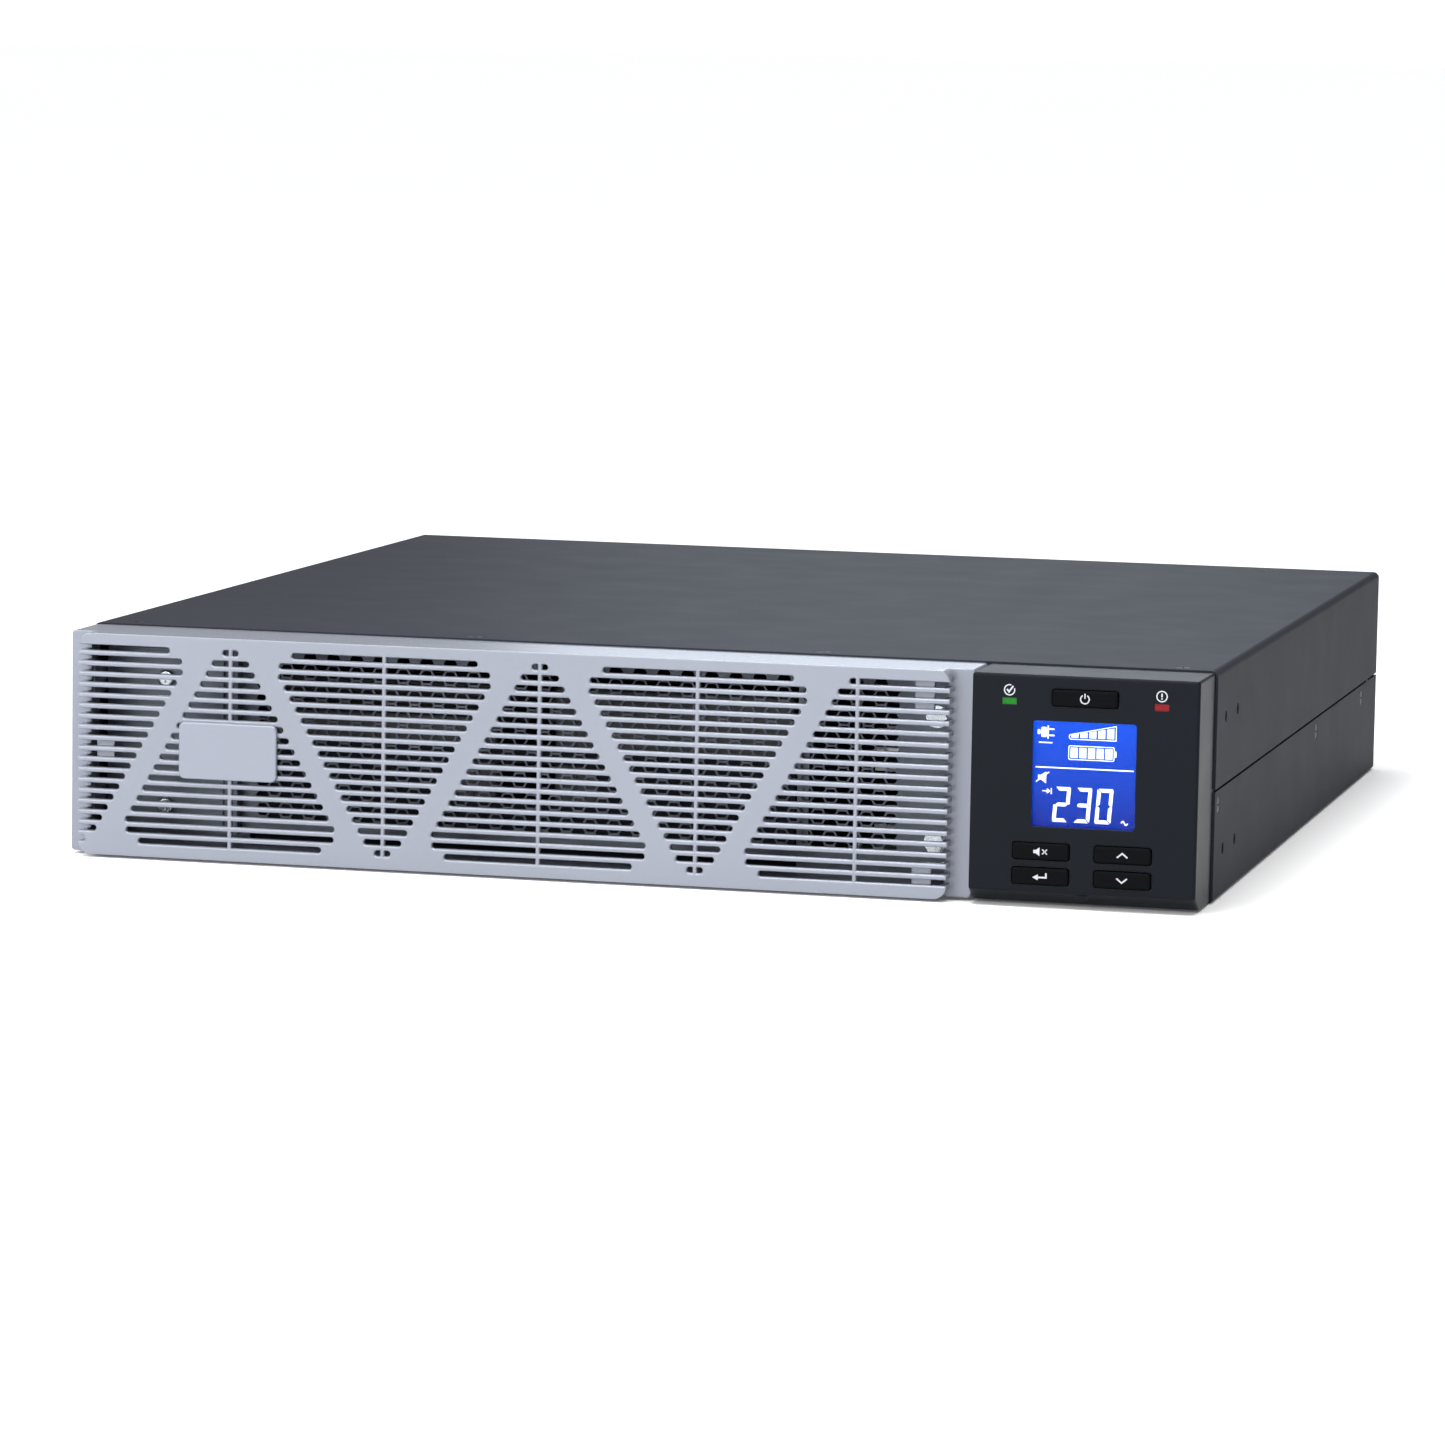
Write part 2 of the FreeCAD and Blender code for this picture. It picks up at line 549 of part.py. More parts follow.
def light_pipe(side):
    width, height = LIGHT_SIZE
    return centred_y(PANEL_X + side * LIGHT_DX, LIGHT_Z, width - 0.1, height - 0.1,
                     PANEL_FACE_Y + 0.4, PANEL_BOARD_Y, 0.25)


def key_cap(name):
    """A keycap that stands proud of the panel, held behind it by a flange, with a stem towards its switch."""
    x, z, width, height = KEYS[name]
    inside_y = PANEL_FACE_Y + PANEL_WALL
    cap = centred_y(x, z, width, height, PANEL_FACE_Y - KEY_PROUD, inside_y + 0.8, 1.0)
    rim = edges_where(cap, lambda a, b: a.y < PANEL_FACE_Y - 0.5 and b.y < PANEL_FACE_Y - 0.5)
    cap = cap.makeFillet(0.75, rim)
    flange = centred_y(x, z, width + 1.6, height + 1.0, inside_y + 0.3, inside_y + 1.3, 1.0)
    stem = rod(1.8, 2.6, (x, inside_y + 1.2, z), (0, 1, 0))
    return cap.fuse([flange, stem])


def panel_board():
    """The display board with its ribbon header, two chips and a push switch behind each key."""
    board = box(PANEL[0] + 2.8, PANEL[1] - 2.8, PANEL_BOARD_Y, PANEL_BOARD_Y + 1.6, 4.0, 83.0)
    header = box(PANEL_X - 12, PANEL_X + 12, PANEL_BOARD_Y + 1.6, PANEL_BOARD_Y + 8.0, 56.0, 61.0)
    chips = [box(PANEL_X - 20, PANEL_X - 8, PANEL_BOARD_Y + 1.6, PANEL_BOARD_Y + 3.2, 28.0, 40.0),
             box(PANEL_X + 6, PANEL_X + 14, PANEL_BOARD_Y + 1.6, PANEL_BOARD_Y + 3.0, 30.0, 36.0)]
    holes = [rod(1.4, 4, (x, PANEL_BOARD_Y - 1, z), (0, 1, 0)) for x, z in BOSSES]
    holes += lcd_pins(0.45, PANEL_BOARD_Y - 1, 4)
    switches = [box(x - 3, x + 3, PANEL_BOARD_Y - 3.4, PANEL_BOARD_Y, z - 3, z + 3).fuse(
        rod(1.6, 1.0, (x, PANEL_BOARD_Y - 4.0, z), (0, 1, 0))) for x, z, _, _ in KEYS.values()]
    return board.fuse([header] + chips).cut(holes).fuse(switches)


def panel_back_cover():
    gap = PANEL_WALL + 0.2
    plate = box(PANEL[0] + gap, PANEL[1] - gap, FRONT - 2.4, FRONT,
                BODY_BOTTOM + gap, BODY_TOP - gap)
    window = box(PANEL_X - 16, PANEL_X + 16, FRONT - 3, FRONT + 1, 50.0, 66.0)
    pegs = [rod(3.0, 8.8, (PANEL_X + dx, FRONT - 0.1, z), (0, 1, 0))
            for dx in (-34, 34) for z in (12.0, 76.0)]
    return plate.cut(window).fuse(pegs)


def panel_ribbon():
    """Flat cable from the display board through the bulkhead, down to the main board."""
    x0, x1, thick, bend = PANEL_X - 10, PANEL_X + 10, 0.8, 12.0
    start, turn_y, z = PANEL_BOARD_Y + 8.0, FRONT + 30.0, 58.5
    level = box(x0, x1, start, turn_y - bend, z - thick / 2, z + thick / 2)
    centre = Vector(x0, turn_y - bend, z - bend)
    ring = Part.makeCylinder(bend + thick / 2, x1 - x0, centre, Vector(1, 0, 0))
    ring = ring.cut(Part.makeCylinder(bend - thick / 2, x1 - x0, centre, Vector(1, 0, 0)))
    corner = ring.common(box(x0, x1, turn_y - bend, turn_y + 2, z - bend, z + 2))
    drop = box(x0, x1, turn_y - thick / 2, turn_y + thick / 2, BOARD_TOP + 7.0, z - bend)
    return level.fuse([corner, drop])


# ---------------------------------------------------------------- battery pack
def bay_divider():
    """Sheet wall between the battery bay, the electronics and the rear."""
    low, high, left, front = FLOOR_Z + FIT, 83.8, -215.8, BULKHEAD[1] + FIT
    wall = box(*DIVIDER_X, front, DIVIDER_Y[1], low, high)
    stop = box(left, DIVIDER_X[1], *DIVIDER_Y, low, high)
    feet = [box(DIVIDER_X[1], 70.0, front, DIVIDER_Y[1], low, low + SHEET),
            box(left, 50.0, DIVIDER_Y[1], FRONT + 337.0, low, low + SHEET)]
    lead_slot = box(-210.0, -184.0, FRONT + 326, FRONT + 330, 50.0, 72.0)
    return wall.fuse([stop] + feet).cut(lead_slot)


def battery_tray():
    outer = box(TRAY[0], TRAY[1], TRAY_FRONT, TRAY_REAR, FLOOR_Z + FIT, 44.0)
    inner = box(TRAY[0] + SHEET, TRAY[1] - SHEET, TRAY_FRONT + SHEET, TRAY_REAR - SHEET,
                FLOOR_Z + FIT + SHEET, 45.0)
    finger_hole = centred_y(-50.0, 30.0, 60.0, 16.0, TRAY_FRONT - 1, TRAY_FRONT + 2, 7.9)
    return outer.cut([inner, finger_hole])


def battery_boxes():
    """Lower corner of each battery and the side its terminals face, +1 for the right."""
    return {
        "battery_front_left": (LEFT_BATTERY_X, BATTERY_ROW_Y[0], 1),
        "battery_front_right": (RIGHT_BATTERY_X, BATTERY_ROW_Y[0], -1),
        "battery_rear_left": (LEFT_BATTERY_X, BATTERY_ROW_Y[1], 1),
        "battery_rear_right": (RIGHT_BATTERY_X, BATTERY_ROW_Y[1], -1),
    }


def battery(x, y, side):
    """A sealed lead-acid block lying on its flat side, with a lid step and two tab terminals."""
    width, length, height = BATTERY
    case = box(x, x + width, y, y + length, BATTERY_Z, BATTERY_Z + height)
    case = case.makeFillet(1.5, [e for e in case.Edges])
    face = x + width if side > 0 else x
    lid = face - side * 9.0
    groove = box(lid - 0.4, lid + 0.4, y - 1, y + length + 1, BATTERY_Z - 1, BATTERY_Z + height + 1)
    core = box(x + 1, x + width - 1, y + 0.7, y + length - 0.7, BATTERY_Z + 0.7, BATTERY_Z + height - 0.7)
    middle = y + length / 2
    tabs = [span(face - side, face + side * 6.3, middle + dy - 0.4, middle + dy + 0.4,
                 TERMINAL_Z - 3.15, TERMINAL_Z + 3.15) for dy in (-TERMINAL_DY, TERMINAL_DY)]
    return case.cut(groove.cut(core)).fuse(tabs)


def battery_strap():
    y0 = FRONT + 158.0
    top = BATTERY_Z + BATTERY[2] + 0.3
    plate = box(TRAY[0] - 1.2, TRAY[1] + 1.2, y0, y0 + 20, top, top + 1.2)
    legs = [box(x, x + 1.15, y0, y0 + 20, 24.0, top) for x in (TRAY[0] - 1.2, TRAY[1] + 0.05)]
    return plate.fuse(legs)


def tab_sleeve(face, side, y):
    """Insulated push-on receptacle over a tab terminal."""
    outer = span(face + side * 0.5, face + side * 7.5, y - 2.0, y + 2.0, TERMINAL_Z - 4.2, TERMINAL_Z + 4.2)
    blade = span(face, face + side * 6.4, y - 0.45, y + 0.45, TERMINAL_Z - 3.2, TERMINAL_Z + 3.2)
    return outer.cut(blade)


def battery_links():
    """Links that put the four batteries in series."""
    rows = [y + BATTERY[1] / 2 for y in BATTERY_ROW_Y]
    links = []
    for row in rows:
        y = row + TERMINAL_DY
        bridge = box(LINK_LEFT + 7.0, LINK_RIGHT - 7.0, y - 1.6, y + 1.6,
                     TERMINAL_Z - 2, TERMINAL_Z + 2)
        links.append(tab_sleeve(LINK_LEFT, 1, y).fuse([bridge, tab_sleeve(LINK_RIGHT, -1, y)]))
    y0, y1 = rows[0] - TERMINAL_DY, rows[1] - TERMINAL_DY
    x = LINK_RIGHT - 5.0
    rise = TERMINAL_Z + 9.0
    lead = cable([(x, y0, TERMINAL_Z + 4.0), (x, y0, rise), (x, y1, rise), (x, y1, TERMINAL_Z + 4.0)],
                 1.7, [4.5, 4.5])
    links.append(tab_sleeve(LINK_RIGHT, -1, y0).fuse([lead, tab_sleeve(LINK_RIGHT, -1, y1)]))
    return links


def battery_leads():
    """Leads from the outer terminals, forward in the middle channel and across to the connector plug."""
    front_y, rear_y = [y + BATTERY[1] / 2 - TERMINAL_DY for y in BATTERY_ROW_Y]
    low, high = LEAD_Z
    x = LINK_LEFT + 5.0
    front = [(x, front_y - 1.5, low), (x, LEAD_Y, low), (PLUG[1], LEAD_Y, low)]
    rear = [(x, rear_y - 1.5, low), (x, rear_y - 14.0, low), (x + 4.0, rear_y - 26.0, high),
            (x + 4.0, LEAD_Y, high), (PLUG[1], LEAD_Y, high)]
    return [tab_sleeve(LINK_LEFT, 1, front_y).fuse(cable(front, LEAD_R, [5.5])),
            tab_sleeve(LINK_LEFT, 1, rear_y).fuse(cable(rear, LEAD_R, [12.0, 12.0, 5.5]))]


def battery_plug():
    body = rounded(box(*PLUG, *CONNECTOR_Y, *CONNECTOR_Z), 1.5, (1, 0, 0))
    grips = [box(PLUG[0] + 4 + 4 * k, PLUG[0] + 5.5 + 4 * k, CONNECTOR_Y[0] + 3, CONNECTOR_Y[1] - 3,
                 CONNECTOR_Z[1] - 0.7, CONNECTOR_Z[1] + 1) for k in range(3)]
    return body.cut(grips)


def battery_socket():
    body = rounded(box(SOCKET[0], SOCKET[1], *CONNECTOR_Y, *CONNECTOR_Z), 1.5, (1, 0, 0))
    bracket = box(-206.0, -190.0, CONNECTOR_Y[0] + 2, CONNECTOR_Y[1] - 2, 46.0, CONNECTOR_Z[0] + 1)
    return body.fuse(bracket)


def inverter_leads():
    """The pair of heavy leads from the connector socket along the case to the main board's terminals."""
    leads = []
    for x, y, end_x, z in ((-196.0, FRONT + 350.0, 92.0, LEAD_Z[0]),
                           (-203.0, FRONT + 357.0, 100.0, LEAD_Z[1])):
        leads.append(cable([(x, CONNECTOR_Y[1], z), (x, y, z), (end_x, y, z), (end_x, y, 24.0),
                            (end_x, FRONT + 334.0, 24.0)], LEAD_R, [26.0, 12.0, 10.0]))
    return leads


# ---------------------------------------------------------------- electronics
def main_board():
    x0, x1, y0, y1 = BOARD
    board = box(x0, x1, y0, y1, BOARD_Z, BOARD_TOP)
    header = box(PANEL_X - 12, PANEL_X + 12, FRONT + 27.0, FRONT + 33.0, BOARD_TOP, BOARD_TOP + 7.0)
    block = box(86.0, 106.0, FRONT + 316.0, FRONT + 334.0, BOARD_TOP, 32.0)
    fuses = [box(108 + 16 * k, 116 + 16 * k, FRONT + 34, FRONT + 60, BOARD_TOP, BOARD_TOP + 9)
             for k in range(3)]
    holes = [rod(1.7, 4, (x, y, BOARD_Z - 1), (0, 0, 1)) for x in STANDOFF_X for y in STANDOFF_Y]
    return board.fuse([header, block] + fuses).cut(holes)


def board_standoffs():
    posts = []
    for x in STANDOFF_X:
        for y in STANDOFF_Y:
            post = placed(hex_solid(5.5, BOARD_Z - FLOOR_Z), (x, y, FLOOR_Z), (0, 0, 1))
            posts.append(post.cut(rod(1.45, 5, (x, y, BOARD_Z - 5), (0, 0, 1))))
    return posts


def board_screws():
    """Screws of the main board and, smaller, of the display board."""
    main = [pan_screw((x, y, BOARD_TOP), (0, 0, 1), 2.8, 2.0, 5.5, 1.4)
            for x in STANDOFF_X for y in STANDOFF_Y]
    return main + [pan_screw((x, PANEL_BOARD_Y + 1.6, z), (0, 1, 0), 2.4, 1.6, 5.5, 1.2) for x, z in BOSSES]


def heatsink(base_x, side, y0, y1, fin_count):
    """An extruded heatsink: an upright base plate on the board, with level fins on one side."""
    first_fin = BOARD_TOP + 3.0
    height = FIN_STEP * (fin_count - 1) + 1.6
    base = span(base_x, base_x + side * 4, y0, y1, BOARD_TOP, first_fin + height)
    fins = [span(base_x + side * 3.9, base_x + side * 17, y0, y1, first_fin + FIN_STEP * k,
                 first_fin + FIN_STEP * k + 1.6) for k in range(fin_count)]
    return base.fuse(fins)


def power_transistors():
    """Packages against the two heatsinks, each on three legs."""
    packages = []
    for base_x, side, count in ((SINK_X[0], -1, 8), (SINK_X[1], 1, 5)):
        for k in range(count):
            y = FRONT + 78 + 28 * k
            body = span(base_x, base_x + side * 5, y, y + 16, 26.0, 47.0)
            legs = [span(base_x + side * 2.2, base_x + side * 2.8, y + 2 + 5.4 * n, y + 3.2 + 5.4 * n,
                         BOARD_TOP, 26.5) for n in range(3)]
            packages.append(body.fuse(legs))
    return packages


def bus_capacitors():
    cans = []
    for k in range(4):
        start = (124.0, FRONT + 84 + 34 * k, BOARD_TOP)
        can = rod(15.0, 46.0, start, (0, 0, 1))
        can = can.makeFillet(1.5, [e for e in can.Edges if e.BoundBox.ZMin > BOARD_TOP + 45])
        bead = Part.makeTorus(15.0, 0.9, Vector(start[0], start[1], BOARD_TOP + 5), Vector(0, 0, 1))
        cans.append(can.cut(bead))
    return cans


def choke_cores():
    return [Part.makeTorus(CHOKE_RING, CHOKE_SECTION, Vector(CHOKE_X, y, CHOKE_Z), Vector(0, 0, 1))
            for y in CHOKE_Y]


def choke_windings():
    """Single turns of wire, evenly spaced round each core."""
    turns = []
    for y in CHOKE_Y:
        for k in range(CHOKE_TURNS):
            angle = 2 * math.pi * k / CHOKE_TURNS
            out = Vector(math.cos(angle), math.sin(angle), 0)
            centre = Vector(CHOKE_X, y, CHOKE_Z) + out * CHOKE_RING
            along = Vector(-math.sin(angle), math.cos(angle), 0)
            turns.append(Part.makeTorus(CHOKE_SECTION + 1.0, 0.8, centre, along))
    return turns


def transfer_relays():
    relays = []
    for x in (118.0, 140.0, 162.0, 184.0):
        case = box(x - 8, x + 8, FRONT + 304, FRONT + 326, BOARD_TOP, BOARD_TOP + 19)
        relays.append(case.makeFillet(0.8, [e for e in case.Edges if e.BoundBox.ZMax > BOARD_TOP + 1]))
    return relays


def charger_transformer():
    y, z = FRONT + 206.0, BOARD_TOP
    core = box(CHOKE_X - 17, CHOKE_X + 17, y - 6, y + 6, z + 4, z + 32)
    windows = [box(CHOKE_X + dx - 4.5, CHOKE_X + dx + 4.5, y - 7, y + 7, z + 9, z + 27)
               for dx in (-9.5, 9.5)]
    coil = rod(9.4, 17.0, (CHOKE_X, y, z + 9.5), (0, 0, 1))
    base = box(CHOKE_X - 14, CHOKE_X + 14, y - 14, y + 14, z, z + 4.5)
    return core.cut(windows).fuse([coil, base])


def control_board():
    y = FRONT + 262.0
    board = box(104.0, 182.0, y, y + 1.6, BOARD_TOP + 2, 72.0)
    header = box(120.0, 166.0, y - 3, y, BOARD_TOP, BOARD_TOP + 6)
    chips = [box(124.0, 138.0, y - 1.8, y, 40.0, 54.0), box(150.0, 160.0, y - 1.5, y, 44.0, 50.0),
             box(150.0, 158.0, y - 1.5, y, 30.0, 36.0)]
    return board.fuse([header] + chips)


def filter_board():
    """Mains filter behind the inlet: a small board with a choke and two film capacitors."""
    y0 = FRONT + 344.0
    board = box(-206.0, -116.0, y0, y0 + 32, 6.0, 7.6)
    legs = [rod(2.5, 6.0 - FLOOR_Z, (x, y0 + dy, FLOOR_Z), (0, 0, 1))
            for x in (-202.0, -120.0) for dy in (4, 28)]
    parts = [box(-170.0, -146.0, y0 + 6, y0 + 24, 7.6, 27.0),
             box(-140.0, -134.0, y0 + 6, y0 + 24, 7.6, 22.0),
             rod(11.0, 18.0, (-188.0, y0 + 16, 7.6), (0, 0, 1))]
    return board.fuse(legs + parts)


# ---------------------------------------------------------------- rear
def rear_panel():
    z0, z1 = FLOOR_Z + 0.2, ROOF_Z - 0.2
    plate = box(-WALL_X + 0.2, WALL_X - 0.2, REAR - SHEET, REAR, z0, z1)
    flanges = [box(-200.0, 110.0, REAR - 10, REAR - SHEET, z, z + SHEET) for z in (z0, z1 - SHEET)]
    y0, y1 = REAR - 3, REAR + 1
    openings = [rod(37.5, 4, (FAN_X, y0, FAN_Z), (0, 1, 0)),
                centred_y(INLET_X, INLET_Z, 27.4, 20.4, y0, y1, 3.0),
                rod(6.2, 4, (INLET_X, y0, BREAKER_Z), (0, 1, 0)),
                centred_y(SLOT_X, SLOT_Z, 62.0, 28.0, y0, y1, 1.0)]
    openings += [centred_y(x, z, 28.4, 22.4, y0, y1, 2.0) for x in OUTLET_X for z in OUTLET_Z]
    openings += [centred_y(PORT_X, z, w, h, y0, y1, 0.5) for z, w, h in
                 ((USB_Z, 12.4, 11.4), (SERIAL_Z, 19.4, 10.4), (STOP_Z, 14.4, 9.4))]
    holes = [rod(1.6, 4, (side * REAR_SCREW_X, y0, z), (0, 1, 0))
             for side in (-1, 1) for z in REAR_SCREW_Z]
    holes += [rod(1.8, 4, (FAN_X + i * FAN_HOLE, y0, FAN_Z + j * FAN_HOLE), (0, 1, 0))
              for i in (-1, 1) for j in (-1, 1)]
    holes += [rod(1.6, 4, (INLET_X + dx, y0, INLET_Z), (0, 1, 0)) for dx in (-20, 20)]
    holes += [rod(1.6, 4, (SLOT_X + dx, y0, SLOT_Z), (0, 1, 0)) for dx in (-34, 34)]
    holes += [rod(1.6, 4, (GROUND_X, y0, BREAKER_Z), (0, 1, 0))]
    return plate.fuse(flanges).cut(openings + holes)


def rear_screws():
    points = [(side * REAR_SCREW_X, REAR, z) for side in (-1, 1) for z in REAR_SCREW_Z]
    return [pan_screw(point, (0, 1, 0), 2.8, 2.0, 5.0) for point in points]


def ac_inlet():
    """Appliance inlet: a flanged shroud with three blades in its cavity."""
    flange = centred_y(INLET_X, INLET_Z, 50.0, 23.0, REAR, REAR + 2.2, 3.0)
    body = centred_y(INLET_X, INLET_Z, 27.0, 20.0, REAR - 26.0, REAR + 1, 2.8)
    cavity = centred_y(INLET_X, INLET_Z, 24.4, 16.6, REAR - 14.8, REAR + 3, 2.6)
    holes = [rod(1.6, 4, (INLET_X + dx, REAR - 1, INLET_Z), (0, 1, 0)) for dx in (-20, 20)]
    blades = [centred_y(INLET_X + dx, INLET_Z + dz, 2.0, 4.0, REAR - 15.5, REAR - 1.0, 0.5)
              for dx, dz in ((-7, -0.8), (0, 3.4), (7, -0.8))]
    tabs = [box(INLET_X + dx - 0.4, INLET_X + dx + 0.4, REAR - 34, REAR - 25.5,
                INLET_Z + dz - 3, INLET_Z + dz + 3) for dx, dz in ((-7, -3), (0, 3), (7, -3))]
    return flange.fuse(body).cut([cavity] + holes).fuse(blades + tabs)


def ac_outlet(x, z):
    """Appliance outlet: an island with three contact slots inside a channel for the plug's shroud."""
    flange = centred_y(x, z, 32.0, 26.0, REAR, REAR + 2.0, 2.5)
    body = centred_y(x, z, 28.0, 22.0, REAR - 22.0, REAR + 1, 2.0)
    channel = centred_y(x, z, 24.8, 16.8, REAR - 14.0, REAR + 3, 2.8).cut(
        centred_y(x, z, 21.0, 13.0, REAR - 14.0, REAR + 3, 2.2))
    slots = [centred_y(x + dx, z + dz, 2.4, 4.6, REAR - 13.0, REAR + 3, 0.4)
             for dx, dz in ((-7, -1.2), (0, 2.8), (7, -1.2))]
    return flange.fuse(body).cut([channel] + slots)


def inlet_screws():
    points = [(INLET_X + dx, REAR + 2.2, INLET_Z) for dx in (-20, 20)]
    return [pan_screw(point, (0, 1, 0), 2.6, 1.8, 6.0) for point in points]


def circuit_breaker():
    x, z = INLET_X, BREAKER_Z
    body = box(x - 8.5, x + 8.5, REAR - 34.0, REAR - SHEET - 0.1, z - 13, z + 13)
    neck = rod(6.0, 6.0, (x, REAR - 2.0, z), (0, 1, 0))
    nut = placed(hex_solid(15.0, 2.5), (x, REAR + 0.05, z), (0, 1, 0))
    bore = rod(3.9, 14.0, (x, REAR - 9.0, z), (0, 1, 0))
    tabs = [box(x - 3.1, x + 3.1, REAR - 42, REAR - 33.5, z + dz - 0.4, z + dz + 0.4) for dz in (-7, 7)]
    return body.fuse([neck, nut] + tabs).cut(bore)


def breaker_button():
    """Reset button, shown pressed in; it stands further out once the breaker has tripped."""
    stem = rod(3.6, 12.5, (INLET_X, REAR - 6.0, BREAKER_Z), (0, 1, 0))
    return stem.makeFillet(0.8, [e for e in stem.Edges if e.BoundBox.YMin > REAR + 6])


def usb_port():
    """A square data socket with the tongue in its mouth."""
    z = USB_Z
    body = centred_y(PORT_X, z, 12.0, 11.0, REAR - 15.0, REAR + 0.6, 0.8)
    mouth = centred_y(PORT_X, z, 8.6, 7.8, REAR - 10.0, REAR + 1, 1.2)
    tongue = centred_y(PORT_X, z, 5.6, 3.2, REAR - 10.5, REAR - 0.4, 0.3)
    return body.cut(mouth).fuse(tongue)


def serial_port():
    """Nine-way serial socket with its two jack posts."""
    z = SERIAL_Z
    flange = centred_y(PORT_X, z, 30.8, 12.5, REAR, REAR + 0.9, 1.5)
    body = centred_y(PORT_X, z, 19.0, 10.0, REAR - 10.0, REAR + 0.5, 1.0)
    outline = [Vector(PORT_X + dx, REAR + 0.5, z + dz)
               for dx, dz in ((-8.3, 4.0), (8.3, 4.0), (7.0, -4.0), (-7.0, -4.0))]
    shell = Part.Face(Part.makePolygon(outline + outline[:1])).extrude(Vector(0, 5.4, 0))
    pins = [rod(0.55, 8, (PORT_X - 5.54 + 2.77 * k, REAR, z + 1.4), (0, 1, 0)) for k in range(5)]
    pins += [rod(0.55, 8, (PORT_X - 4.15 + 2.77 * k, REAR, z - 1.4), (0, 1, 0)) for k in range(4)]
    jacks = [placed(hex_solid(4.8, 4.5), (PORT_X + dx, REAR + 0.8, z), (0, 1, 0)) for dx in (-12.5, 12.5)]
    return flange.fuse([body, shell] + jacks).cut(pins)


def stop_terminal():
    """Two-way plug-in terminal for a remote emergency stop."""
    z = STOP_Z
    header = centred_y(PORT_X, z, 14.0, 9.0, REAR - 9.0, REAR + 1.0, 0.4)
    plug = box(PORT_X - 6.3, PORT_X + 6.3, REAR + 0.9, REAR + 5.0, z - 3.9, z + 3.9)
    entries = [centred_y(PORT_X + dx, z - 0.8, 3.6, 3.6, REAR - 1, REAR + 6, 0.4) for dx in (-2.9, 2.9)]
    screws = [rod(1.3, 3, (PORT_X + dx, REAR + 3.0, z + 2.6), (0, 0, 1)) for dx in (-2.9, 2.9)]
    return header.fuse(plug).cut(entries + screws)


def slot_cover():
    plate = centred_y(SLOT_X, SLOT_Z, 78.0, 38.0, REAR, REAR + 1.2, 1.5)
    return plate.cut([rod(1.6, 3, (SLOT_X + dx, REAR - 1, SLOT_Z), (0, 1, 0)) for dx in (-34, 34)])


def slot_screws():
    return [pan_screw((SLOT_X + dx, REAR + 1.2, SLOT_Z), (0, 1, 0), 3.6, 2.6, 5.0) for dx in (-34, 34)]


def hex_screws():
    """Hexagon-head screws: two in the battery door's flange and the earth screw at the rear."""
    door = [hex_screw((DOOR_SCREWS[0], FRONT + 1.3, z), (0, -1, 0)) for z in DOOR_SCREWS[1]]
    return door + [hex_screw((GROUND_X, REAR, BREAKER_Z), (0, 1, 0))]


def pan_screws():
    """Pan-head screws of the connector cover and of everything on the rear panel."""
    return cover_screws() + rear_screws() + inlet_screws() + slot_screws() + fan_screws()


# ---------------------------------------------------------------- fan
def fan_housing():
    half = FAN_SIZE / 2
    frame = plate_y(FAN_X - half, FAN_X + half, FAN_Z - half, FAN_Z + half, FAN_Y, FAN_Y + FAN_DEPTH, 4.0)
    middle_y = (FAN_Y + 4.0, FAN_Y + FAN_DEPTH - 4.0)
    waist = box(FAN_X - 41, FAN_X + 41, *middle_y, FAN_Z - 41, FAN_Z + 41).cut(
        rod(FAN_BORE + 1.8, FAN_DEPTH, (FAN_X, FAN_Y, FAN_Z), (0, 1, 0)))
    corners = [(i, j) for i in (-1, 1) for j in (-1, 1)]
    holes = [rod(2.2, FAN_DEPTH + 2, (FAN_X + i * FAN_HOLE, FAN_Y - 1, FAN_Z + j * FAN_HOLE), (0, 1, 0))
             for i, j in corners]
    ring = frame.cut([rod(FAN_BORE, FAN_DEPTH + 2, (FAN_X, FAN_Y - 1, FAN_Z), (0, 1, 0)), waist] + holes)
    struts = []
    for k in range(4):
        strut = box(10.0, FAN_BORE + 0.6, -1.4, 1.4, 0, 2.0)
        strut.rotate(Vector(0, 0, 0), Vector(0, 0, 1), 45 + 90 * k)
        struts.append(placed(strut, (FAN_X, FAN_Y, FAN_Z), (0, 1, 0)))
    motor = rod(HUB_R - 1.0, 2.0, (FAN_X, FAN_Y, FAN_Z), (0, 1, 0))
    pin = rod(1.5, 16.0, (FAN_X, FAN_Y + 1.0, FAN_Z), (0, 1, 0))
    return ring.fuse(struts + [motor, pin])


def fan_rotor():
    """Hub with seven pitched blades on the housing's pin."""
    y0 = FAN_Y + 2.6
    hub = rod(HUB_R, 20.0, (0, 0, 0), (0, 0, 1))
    hub = hub.makeFillet(1.5, [e for e in hub.Edges if e.BoundBox.ZMin > 19])
    blades = []
    for k in range(FAN_BLADES):
        blade = box(HUB_R - 1.0, FAN_BORE - 1.4, -11.0, 11.0, -0.7, 0.7)
        blade.rotate(Vector(0, 0, 0), Vector(1, 0, 0), 38.0)
        blade.translate(Vector(0, 0, 10.0))
        blade.rotate(Vector(0, 0, 0), Vector(0, 0, 1), 360.0 / FAN_BLADES * k)
        blades.append(blade)
    swept = Part.makeCylinder(FAN_BORE - 1.0, 20.0)
    rotor = hub.fuse([blade.common(swept) for blade in blades]).cut(rod(1.56, 15.0, (0, 0, -0.5), (0, 0, 1)))
    return placed(rotor, (FAN_X, y0, FAN_Z), (0, 1, 0))


